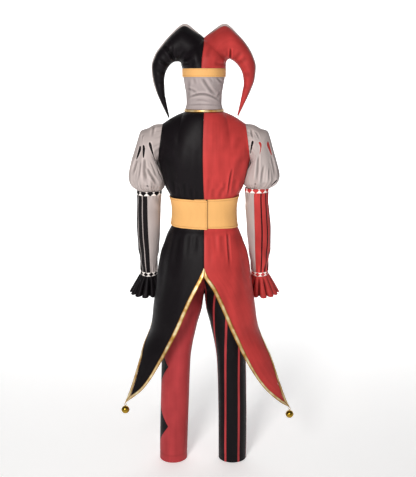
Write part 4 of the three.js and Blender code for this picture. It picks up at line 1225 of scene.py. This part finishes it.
for side in sides:
    makeForearm(side)
print("forearms and cuffs made")

# trousers
trousers = {"top": 432, "lean": -6, "bandTop": 397}
legForm = readForm("along outerX outerDrop innerX innerDrop back front seamBack seamFront", [
    [0, 183, 1452, 67, 1452, 59, 58, 0, 0], [0.2, 180, 1225, 62, 1225, 60, 59, 0, 0],
    [0.36, 175, 1020, 55, 1020, 66, 64, 0, 0], [0.48, 171, 862, 28, 862, 84, 78, 0, 0],
    [0.56, 170, 765, 6, 778, 98, 87, 0, 0], [0.62, 170, 700, 0.5, 722, 106, 90, 12, 10],
    [0.69, 169, 645, 0.5, 690, 112, 92, 64, 48], [0.77, 165, 585, 0.5, 625, 116, 93, 104, 76],
    [0.86, 150, 520, 0.5, 540, 112, 93, 111.5, 90], [0.94, 128.5, 458, 0.5, 460, 97.5, 93.8, 97.3, 93.6],
    [1, 125.6, 432, 0.5, 432, 95.6, 93.6, 95.5, 93.5],
])
legCloth = {
    "left": diamondCloth("diamondRed", "redLeg", "black", (0, 0.16), (0.069, 0.1), (0, 0.264)),
    "right": stripedCloth("stripedLeg", "black", "redLeg", [-0.016 + 0.058 * k for k in range(-5, 5)], 0.0046),
}
legCreases = {
    "right": [
        [40, -760, 96, -940, 1.8, 18, 6], [60, -735, 150, -840, 1.8, 18, 5],
        [100, -1446, 112, -1250, 0.9, 14, 3], [150, -1440, 138, -1180, 0.9, 16, -3],
        [140, -1160, 104, -960, 0.9, 18, 4],
    ],
    "left": [
        [-40, -760, -104, -940, 1.8, 18, -6], [-60, -735, -150, -840, 1.8, 18, -5],
        [-112, -1446, -124, -1250, 0.9, 14, -3], [-160, -1440, -146, -1180, 0.9, 16, 3],
        [-150, -1140, -112, -960, 0.9, 18, -4],
    ],
}


def makeLeg(side, way):
    sign = sideSign[side]

    def section(v):
        found = sectionAt(legForm, clamp01(v))
        return found | {"middle": 0 * found["outerX"]}

    def leaning(p, v, y):
        return mirrored(p, sign) + points(trousers["lean"] * (1 - clamp01(v / 0.66)), y + 0 * v, 0 * v)

    def shape(u, v):
        return leaning(sectionPoint(section(v), way, u), v, way * gap)

    def heart(u, v):
        return leaning(sectionHeart(section(v)), v, 0)

    def relief(p, u, v):
        z = p[..., 2]
        hem = -0.8 * swell(v * 1020, 2.2, 26)
        meeting = 2.2 * smoothStep(-745, -715, z) * smoothStep(0.7, 0.95, u)
        pressed = foldedAt(p, legCreases[side]) + rumple(p, 190, 1.6, 19) * 0.8
        return pressed * smoothStep(-560, -640, z) + seamRoll(toEdge(u) * 180, 0.8) + hem + meeting

    def shade(p, u, v):
        return -0.75 * smoothStep(-860, -690, p[..., 2])

    def legUv(u, cloth):
        # measured from a line near the outer seam; the front counts on from it the other way
        along = cloth[..., 0]
        anchor = 0.135 * along[:, -1:] * (side == "right")
        return np.stack([-way * along - anchor, cloth[..., 1]], axis=-1)

    finish = (legCloth[side], finishes[colourOf[otherSide[side]]][1])
    sew(f"trouser_{faceOf[way]}_{side}", finish, shape, heart, (40, 150), (0.30, 1.06), "hung",
        ["trouserWaistband"], 0.218, relief=relief, uv=legUv, shade=shade)


def makeWaistband():
    def shape(u, v):
        return coatPoint(u * fullTurn, mix(trousers["top"] - 0.3, trousers["bandTop"], v), -1.9)

    def heart(u, v):
        return bodyHeart(mix(trousers["top"], trousers["bandTop"], v))

    sew("trouser_waistband", finishes["black"], shape, heart, (160, 10), (0.72, 0.036), "stretched",
        ["trouserBackLeft"], ring=True)


makeWaistband()
for side in sides:
    makeLeg(side, -1)
    makeLeg(side, 1)
print("trousers made")

# hood
hood = {"top": 145, "bottom": -28, "chin": 58, "faceShare": 0.62}
hoodForm = readForm("height halfWidth depth middle", [
    [-28, 69, 66, -1], [-5, 72.8, 70.8, 0], [5, 72.8, 70.8, 0], [26, 68, 67, 0], [60, 69, 77, 4],
    [95, 75, 91, 6], [127, 80.3, 97, 5], [150, 82.25, 99.05, 5],
])
hoodCreases = [
    [-60, 50, 68, 30, 4.0, 4.5, -22], [-9, 128, 53, 48, 3.0, 6, 4], [48, 126, 72, 98, 2.5, 4, 0],
    [-57, 118, -60, 30, 2.0, 6, 0], [-66, 84, -20, 58, 2.0, 5, -5], [-62, 22, 62, 20, 1.6, 3.2, -4],
    [62, 74, 44, 44, 1.8, 5, -3], [-34, 40, 30, 30, 1.2, 4, -6], [20, 126, 34, 104, 1.4, 4, 0],
    [-40, 126, -30, 96, 1.2, 5, 0],
]


def hoodEdge(turn):
    fromFront = np.abs(turn - math.pi) / (quarterTurn * hood["faceShare"])
    return np.where(fromFront >= 1, hood["top"], mix(hood["chin"], hood["top"], clamp01(fromFront**2.6)))


def makeHood():
    def between(first, last, top):
        def shape(u, v):
            turn = mix(first, last, u)
            height = mix(hood["bottom"], top(turn), v)
            y = hoodForm["middle"](height) - hoodForm["depth"](height) * np.cos(turn)
            return points(hoodForm["halfWidth"](height) * np.sin(turn), y, height)

        return shape

    def heart(u, v):
        return points(0 * u, 5 + 0 * u, mix(hood["bottom"], hood["top"], v))

    def relief(p, u, v):
        z, aside = p[..., 2], smoothStep(0, 25, np.abs(p[..., 1]))
        free = smoothStep(-8, 12, z) * smoothStep(130, 116, z)
        pressed = foldedAt(p, hoodCreases) * aside + rumple(p, 60, 0.8, 23)
        return pressed * free + seamRoll(toEdge(u) * 210, 0.6, 2)

    def frontRelief(p, u, v):
        aside = np.abs(u - 0.5)
        opening = (hoodEdge(mix(quarterTurn, 3 * quarterTurn, u)) - p[..., 2]) * (aside < 0.36)
        return relief(p, u, v) * 0.7 - 0.6 * swell(opening, 1.6, 8) * (aside < 0.32)

    back = between(-quarterTurn + 0.001, quarterTurn - 0.001, lambda turn: hood["top"])
    front = between(quarterTurn + 0.001, 3 * quarterTurn - 0.001, hoodEdge)
    sew("hood_back", finishes["hood"], back, heart, (84, 76), (0.284, 0.176), "stretched",
        ["neckTrim"], 0.043, relief=relief)
    sew("hood_front", finishes["hood"], front, heart, (80, 56), (0.27, 0.176), "stretched",
        ["neckTrim"], 0.033, relief=frontRelief)


makeHood()
print("hood made")

# hat
hat = {
    "bandBottom": 127, "bandTop": 158, "middle": 5, "edge": 4, "edgeAtPeak": 5,
    "bandHalfWidth": 84.2, "bandHalfDepth": 101, "stitchLift": 0.15, "stitchRows": (132, 153),
}
hornNames = "along outerX outerZ innerX innerZ depth seam"
hornRows = {
    "left": [
        [0, 0, 158.5, 84, 158.5, 100, 99.9], [1, 0, 201, 86, 165, 97, 92], [2, 0, 238, 88, 171, 91, 68],
        [3, 0, 261, 89, 175, 84, 34], [4, 0, 270, 90, 178, 78, 0], [5, 38, 298, 93, 181, 70, 0],
        [6, 75, 316, 99, 183, 60, 0], [7, 122, 284, 108, 183, 53, 0], [8, 157, 246, 120, 179, 46, 0],
        [9, 185, 207, 136, 165, 38, 0], [10, 198, 163, 149, 138, 31, 0], [11, 194, 118, 153, 106, 24, 0],
        [12, 181, 72, 152, 70, 17, 0], [13, 163, 26, 145, 30, 10, 0], [14, 138, -30, 134, -25, 3.5, 0],
    ],
    "right": [
        [0, 0, 158.5, 84, 158.5, 100, 99.9], [1, 0, 201, 84.5, 166, 97, 92], [2, 0, 238, 85, 174, 91, 68],
        [3, 0, 261, 86, 181, 84, 34], [4, 0, 270, 88, 186, 78, 0], [5, 39, 298, 91, 190, 70, 0],
        [6, 80, 316, 97, 193, 60, 0], [7, 125, 284, 106, 190, 53, 0], [8, 157, 249, 117, 183, 46, 0],
        [9, 182, 208, 133, 166, 38, 0], [10, 195, 163, 146, 141, 31, 0], [11, 191, 120, 151, 106, 24, 0],
        [12, 176, 76, 147, 72, 17, 0], [13, 157, 32, 140, 36, 10, 0], [14, 132, -23, 128, -18, 3.5, 0],
    ],
}
hornCreases = {
    "left": [
        [-104, 186, -70, 228, 5.0, 6, 3], [-112, 188, -122, 240, 5.5, 6, -3],
        [-115, 192, -154, 252, 6.0, 6, 0], [-134, 172, -176, 196, 4.6, 6, -3],
        [-96, 182, -42, 208, 4.0, 6, 5], [-90, 176, -52, 180, 3.0, 5, 2], [-150, 140, -186, 150, 2.4, 7, 0],
        [-154, 104, -188, 98, 1.8, 7, 2], [-8, 180, -30, 240, 2.0, 10, 4], [-150, 60, -166, 30, 1.4, 6, 2],
        [-40, 166, -56, 200, 1.8, 8, 3],
    ],
    "right": [
        [99, 190, 99, 236, 5.5, 3.6, 0], [92, 186, 62, 214, 1.6, 7, -4], [88, 180, 40, 176, 1.4, 7, -6],
        [112, 188, 140, 226, 1.5, 8, 3], [124, 178, 166, 206, 1.2, 9, 4], [150, 138, 180, 130, 0.8, 9, -2],
        [14, 196, 28, 244, 1.0, 10, -4], [146, 96, 172, 84, 0.7, 8, 2], [44, 166, 62, 198, 0.9, 9, -3],
    ],
}


def makeHorn(side, way):
    sign, form, lastRow = sideSign[side], readForm(hornNames, hornRows[side]), len(hornRows[side]) - 1

    def section(v):
        return sectionAt(form, clamp01(v) * lastRow)

    def shape(u, v):
        # the grey side ends in a flat edge that stands out past the coloured side
        at = clamp01(v) * lastRow
        found = section(v)
        shown = clamp01(at - 4) * clamp01((lastRow - at) / 2) if way > 0 else 0.0 * at
        spare = shown * (hat["edge"] + hat["edgeAtPeak"] * bump((at - 6) / 1.5))
        flat = 0.08 * shown
        dx, dz = found["outerX"] - found["innerX"], found["outerZ"] - found["innerZ"]
        length = np.hypot(dx, dz)
        tube = {"outerX": found["innerX"], "outerDrop": -found["innerZ"], "back": found["depth"]}
        tube |= {"innerX": found["outerX"], "innerDrop": -found["outerZ"], "front": found["depth"]}
        tube |= {"seam": found["seam"], "middle": hat["middle"] + 0 * at}
        p = sectionPoint(tube, way, clamp01(u / (1 - flat)))
        past = spare * clamp01((u - 1 + flat) / np.maximum(flat, 1e-6))
        p = p + points(dx / length * past, way * 0.02 * past, dz / length * past)
        meet = -1.4 * bump((at - 3.6) / 1.6) * u**6
        stray = meet * sign - 9 * smoothStep(262, 168, p[..., 2]) * swell(p[..., 0], 34) * (way < 0)
        return mirrored(p, sign) + points(stray + sign * gap, way * gap, 0)

    def heart(u, v):
        found = section(v)
        x, z = (found["outerX"] + found["innerX"]) / 2, (found["outerZ"] + found["innerZ"]) / 2
        return points(sign * x, hat["middle"] - way * 25 * (way > 0), z)

    def relief(p, u, v):
        free = smoothStep(0.0, 0.03, v) * smoothStep(0.0, 0.08, 1 - v)
        pressed = foldedAt(p, hornCreases[side]) * smoothStep(0, 0.1, toEdge(u) + 0.05)
        return (pressed + rumple(p, 80, 1.0, 31) + seamRoll(toEdge(u) * 140, 0.9)) * free

    def soften(u, v):
        # the bend where the horn leaves the seam is rounded off
        return bump((v * lastRow - 4.2) / 3.2) * smoothStep(0.0, 0.12, u) * smoothStep(1.0, 0.8, u)

    def shade(p, u, v):
        return (-0.2 if side == "right" and way < 0 else 0.0) + 0 * u

    finish = finishes[colourOf[side] if way < 0 else "grey"]
    sew(f"hat_{faceOf[way]}_{side}", finish, shape, heart, (52, 130), (0.26, 0.46), "stretched",
        ["hatBand"], 0.0485, relief=relief, wall=1.2, soften=soften, shade=shade)


def bandPoint(turn, height, lift=0.0):
    x, y = (hat["bandHalfWidth"] + lift) * np.sin(turn), (hat["bandHalfDepth"] + lift) * np.cos(turn)
    return points(x, hat["middle"] - y, height)


def makeHatBand():
    def shape(u, v):
        return bandPoint(u * fullTurn, mix(hat["bandBottom"], hat["bandTop"], v))

    def heart(u, v):
        return points(0 * u, hat["middle"] + 0 * u, mix(hat["bandBottom"], hat["bandTop"], v))

    def relief(p, u, v):
        edge = toEdge(v) * 31
        return -0.7 * swell(edge, 1.2) - 0.4 * swell(edge, 1.2, 5) + rumple(p, 50, 0.35, 27)

    sew("hat_band", finishes["ochre"], shape, heart, (200, 24), (0.583, 0.032), "stretched",
        ["hoodBack", "hoodFront"], ring=True, wall=1.7, relief=relief)


makeHatBand()
for side in sides:
    makeHorn(side, -1)
    makeHorn(side, 1)
print("hat made")

# bells
bell = {
    "radius": 16.0, "wall": 1.0, "slot": 2.6, "slotShare": 0.82, "hole": 2.6, "holeAt": 118,
    "ring": 4.5, "wire": 0.75, "loop": 2.6, "loopRise": 1.9, "tie": 3.18, "thread": 0.18, "tieDrop": 0.93,
}


def meshFrom(name, vertices, faces, edges=()):
    mesh = bpy.data.meshes.new(name)
    mesh.from_pydata([tuple(p) for p in vertices], edges, faces)
    mesh.update()
    return mesh


def turned(name, outline, count):
    # outline is a list of (radius, height) from pole to pole
    vertices, faces, starts = [], [], []
    for radius, height in outline:
        pole = radius < 1e-6
        starts.append((len(vertices), pole))
        around = [0.0] if pole else np.linspace(0, fullTurn, count, endpoint=False)
        vertices += [(radius * math.cos(a) * mm, radius * math.sin(a) * mm, height * mm) for a in around]
    for (low, lowPole), (high, highPole) in zip(starts, starts[1:]):
        for i in range(count):
            j = (i + 1) % count
            lowEdge = (low,) if lowPole else (low + i, low + j)
            faces.append(lowEdge + ((high,) if highPole else (high + j, high + i)))
    return meshFrom(name, vertices, faces)


def wireRing(name, radius, wire, around, thick, axis):
    a = np.linspace(0, fullTurn, around, endpoint=False)[:, None]
    b = np.linspace(0, fullTurn, thick, endpoint=False)[None, :]
    out = radius + wire * np.cos(b)
    first, second, third = out * np.cos(a), out * np.sin(a), wire * np.sin(b) + 0 * a
    grid = points(first, third, second) if axis == "y" else points(third, first, second)
    index = np.arange(around * thick).reshape(around, thick)
    beside, above = np.roll(index, -1, 1), np.roll(index, -1, 0)
    quads = np.stack([index, beside, np.roll(beside, -1, 0), above], -1).reshape(-1, 4)
    return asObject(name, meshFrom(name, grid.reshape(-1, 3) * mm, quads.tolist()))


def cutWith(piece, tools, operation="DIFFERENCE"):
    for tool in tools:
        cut = piece.modifiers.new("cut", "BOOLEAN")
        cut.operation, cut.object, cut.solver = operation, tool, "EXACT"
    bakeModifiers(piece)
    for tool in tools:
        bpy.data.objects.remove(tool)


def bakeModifiers(piece):
    done = bpy.data.meshes.new_from_object(piece.evaluated_get(bpy.context.evaluated_depsgraph_get()))
    piece.modifiers.clear()
    piece.data = done


def moved(mesh, at, turn=None):
    co = np.empty(len(mesh.vertices) * 3, np.float32)
    mesh.vertices.foreach_get("co", co)
    co = co.reshape(-1, 3)
    co = (co if turn is None else co @ turn) + np.array(at)
    mesh.vertices.foreach_set("co", co.astype(np.float32).ravel())
    mesh.update()


def ballOutline(radius, angles):
    # angles between the poles, each in degrees with its share of the radius
    outline = [(radius * share * math.cos(a * degree), radius * math.sin(a * degree)) for a, share in angles]
    return [(0.0, -radius), *outline, (0.0, radius)]


def slotBlock():
    half, thin, deep = bell["radius"] * bell["slotShare"], bell["slot"] / 2, bell["radius"]
    corners = [(-half, -thin), (half, -thin), (half, thin), (-half, thin)]
    vertices = [(x * mm, y * mm, z * mm) for z in (-deep * 1.2, -deep * 0.25) for x, y in corners]
    walls = [(k, (k + 1) % 4, (k + 1) % 4 + 4, k + 4) for k in range(4)]
    return meshFrom("slot", vertices, [(3, 2, 1, 0), (4, 5, 6, 7), *walls])


def makeBell(side):
    name, radius = side.title(), bell["radius"]
    low, high = (np.array(corner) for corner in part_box(f"bell_ring_{side}"))
    ringAt = (low + high) / 2
    bellLow, bellHigh = (np.array(corner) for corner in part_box(f"bell_{side}"))
    middle = (bellLow + bellHigh) / 2
    middle[2] = bellLow[2] + radius * mm
    # the two halves are joined by a rolled seam that stands out at the middle
    seam = [(-5, 1.0), (-3, 1.045), (0, 1.05), (3, 1.045), (5, 1.0)]
    outer = [(a, 1.0) for a in range(-82, -8, 8)] + seam + [(a, 1.0) for a in range(10, 83, 8)]
    inner = [(a, 1.0) for a in range(-80, 81, 10)]
    ball = asObject(f"bell{name}", turned("ball", ballOutline(radius, outer), 48))
    hollow = turned("hollow", ballOutline(radius - bell["wall"], inner), 36)
    tools = [asObject("hollow", hollow), asObject("slot", slotBlock())]
    for way in (-1, 1):
        drill = turned("drill", [(0.0, -5.0), (bell["hole"], -5.0), (bell["hole"], 5.0), (0.0, 5.0)], 20)
        lean = bell["holeAt"] * degree * way
        up, out = math.cos(lean), math.sin(lean)
        moved(drill, np.array([out, 0, up]) * radius * mm, np.array([[up, 0, -out], [0, 1, 0], [out, 0, up]]))
        tools.append(asObject("drill", drill))
    cutWith(ball, tools)
    loop = wireRing("loop", bell["loop"], bell["wire"], 24, 10, "x")
    moved(loop.data, (0, 0, (radius + bell["loopRise"]) * mm))
    cutWith(ball, [loop], "UNION")
    ring = wireRing(f"bellRing{name}", bell["ring"], bell["wire"], 32, 12, "y")
    tie = wireRing(f"bellTie{name}", bell["tie"], bell["thread"], 28, 8, "x")
    tieAt = (ringAt[0], ringAt[1], high[2] - bell["tieDrop"] * mm)
    for piece, at in ((ball, middle), (ring, ringAt), (tie, tieAt)):
        piece.data.polygons.foreach_set("use_smooth", np.ones(len(piece.data.polygons), bool))
        moved(piece.data, at)
    ball.data.set_sharp_from_angle(angle=math.radians(35))
    finishPiece(ball, finishes["brass"], [f"bell_{side}"], f"bell_{side}")
    finishPiece(ring, finishes["brass"], [f"bell_ring_{side}"], f"ring_{side}")
    finishPiece(tie, finishes["thread"])
    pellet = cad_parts[f"bell_pellet_{side}"].data.materials
    pellet.clear()
    pellet.append(finishes["brass"][0])


for side in sides:
    makeBell(side)
print("bells made")


# stitches, laid along lines by one node tree
def buildStitches():
    tree = bpy.data.node_groups.new("stitchesAlongLine", "GeometryNodeTree")
    sockets = [("Geometry", "Geometry", None), ("Pitch", "Float", 0.004), ("Length", "Float", 0.0026)]
    sockets += [("Thread", "Float", 0.0004), ("Material", "Material", None)]
    for label, kind, value in sockets:
        socket = tree.interface.new_socket(label, in_out="INPUT", socket_type="NodeSocket" + kind)
        if value is not None:
            socket.default_value = value
    tree.interface.new_socket("Geometry", in_out="OUTPUT", socket_type="NodeSocketGeometry")
    given = tree.nodes.new("NodeGroupInput").outputs
    out = tree.nodes.new("NodeGroupOutput").inputs
    line = put(tree, "GeometryNodeMeshToCurve", {"Mesh": given["Geometry"]})["Curve"]
    spacing = {"Curve": line, "Length": given["Pitch"]}
    spaced = put(tree, "GeometryNodeResampleCurve", spacing, mode="LENGTH")["Curve"]
    capsule = put(tree, "GeometryNodeMeshUVSphere", {"Segments": 6, "Rings": 5, "Radius": 1.0})["Mesh"]
    half = calc(tree, "MULTIPLY", given["Length"], 0.5)
    size = put(tree, "CombineXYZ", {0: given["Thread"], 1: given["Thread"], 2: half})[0]
    tangent = put(tree, "GeometryNodeInputTangent")[0]
    aligned = put(tree, "FunctionNodeAlignRotationToVector", {"Vector": tangent}, axis="Z")[0]
    placing = {"Points": spaced, "Instance": capsule, "Rotation": aligned, "Scale": size}
    laid = put(tree, "GeometryNodeInstanceOnPoints", placing)["Instances"]
    real = put(tree, "GeometryNodeRealizeInstances", {"Geometry": laid})[0]
    smooth = put(tree, "GeometryNodeSetShadeSmooth", {"Geometry": real})[0]
    done = put(tree, "GeometryNodeSetMaterial", {"Geometry": smooth, "Material": given["Material"]})[0]
    tree.links.new(done, out["Geometry"])
    return tree


stitch = {"Pitch": 0.004, "Length": 0.0027, "Thread": 0.00042, "Material": finishes["thread"][0]}
stitchTree = buildStitches()


def layStitches(name, lines):
    vertices, edges = [], []
    for line in lines:
        start = len(vertices)
        vertices += [p * mm for p in line]
        edges += [(start + k, start + k + 1) for k in range(len(line) - 1)]
    guide = asObject(name, meshFrom(name, vertices, [], edges))
    modifier = guide.modifiers.new("stitches", "NODES")
    modifier.node_group = stitchTree
    for item in stitchTree.interface.items_tree:
        if item.item_type == "SOCKET" and item.in_out == "INPUT" and item.name in stitch:
            modifier[item.identifier] = stitch[item.name]
    bakeModifiers(guide)
    finishPiece(guide, finishes["thread"])


def beltStitches():
    u, edge = np.linspace(0.004, 0.996, 900), belt["hem"] / belt["width"]
    lines = [beltPoint(u, np.full_like(u, v), 0.1) for v in (edge, 1 - edge)]
    v = np.linspace(edge, 1 - edge, 80)
    lines.append(beltPoint(np.full_like(v, 1 - belt["lapHem"] / belt["length"]), v, 0.1))
    layStitches("beltStitches", lines)


def hatBandStitches():
    turn = np.linspace(0, fullTurn, 420)
    lines = [bandPoint(turn, height + 0 * turn, hat["stitchLift"]) for height in hat["stitchRows"]]
    layStitches("hatBandStitches", lines)


beltStitches()
hatBandStitches()
print("stitches made")

# camera, light and floor
view = {"distance": 3.0, "height": 0.128, "aside": 0.015, "drop": 0.634, "sensor": 36, "focal": 766 / 477}
light = {"key": 125, "fill": 7, "rim": 4, "room": 0.1, "paper": 0.3, "wall": 900}
scene = bpy.context.scene
camera = asObject("camera", bpy.data.cameras.new("camera"))
camera.location = (view["aside"], -view["distance"], view["height"])
camera.rotation_euler = (quarterTurn - math.atan(view["drop"] / view["distance"]), 0, 0)
camera.data.sensor_width = view["sensor"]
camera.data.lens = view["focal"] * view["sensor"]
scene.camera = camera
scene.view_settings.view_transform = "Standard"


def addLight(name, at, aim, size, colour=(1, 1, 1)):
    data = bpy.data.lights.new(name + "Light", "AREA")
    data.energy, data.color = light[name], colour
    data.shape, data.size, data.size_y = "RECTANGLE", size[0], size[1]
    lamp = asObject(name + "Light", data)
    lamp.location = at
    lamp.rotation_euler = (Vector(aim) - Vector(at)).to_track_quat("-Z", "Y").to_euler()


addLight("key", (-1.0, -3.6, 0.9), (0.05, 0, -0.55), (0.9, 1.2), (1.0, 0.98, 0.96))
addLight("fill", (2.6, -2.6, 0.4), (0, 0, -0.6), (1.6, 2.4))
addLight("rim", (0.6, 2.6, 2.4), (0, 0, -0.3), (2.0, 1.2))
addLight("wall", (0, 3.5, 4.5), (0, 12, -1.0), (7.0, 2.0))
world = bpy.data.worlds.new("studio")
scene.world = world
world.use_nodes = True
world.node_tree.nodes["Background"].inputs[0].default_value = (1, 1, 1, 1)
world.node_tree.nodes["Background"].inputs[1].default_value = light["room"]


def makeBackdrop():
    # a pale floor that sweeps up into a wall far behind
    low = cadBox[0][2] - 0.002
    sweep = [(-9.0, 0.0), (7.0, 0.0)]
    sweep += [(7 + 5 * math.sin(a * degree), 5 - 5 * math.cos(a * degree)) for a in range(6, 91, 6)]
    sweep.append((12.0, 16.0))
    vertices = [(x, y, z + low) for y, z in sweep for x in (-16.0, 16.0)]
    faces = [(2 * k, 2 * k + 1, 2 * k + 3, 2 * k + 2) for k in range(len(sweep) - 1)]
    backdrop = asObject("backdrop", meshFrom("backdrop", vertices, faces))
    backdrop.data.polygons.foreach_set("use_smooth", np.ones(len(faces), bool))
    material, tree, shader, place = freshMaterial("palePaper")
    paper = blendColour(tree, noise(tree, place, 2.0, 2.0), (0.90, 0.90, 0.90, 1), (0.93, 0.93, 0.93, 1))
    feed(tree, shader, {"Base Color": paper, "Roughness": 0.95, "Emission Color": (1, 1, 1, 1),
                        "Emission Strength": light["paper"]})
    backdrop.data.materials.append(material)


makeBackdrop()

print("scene done")
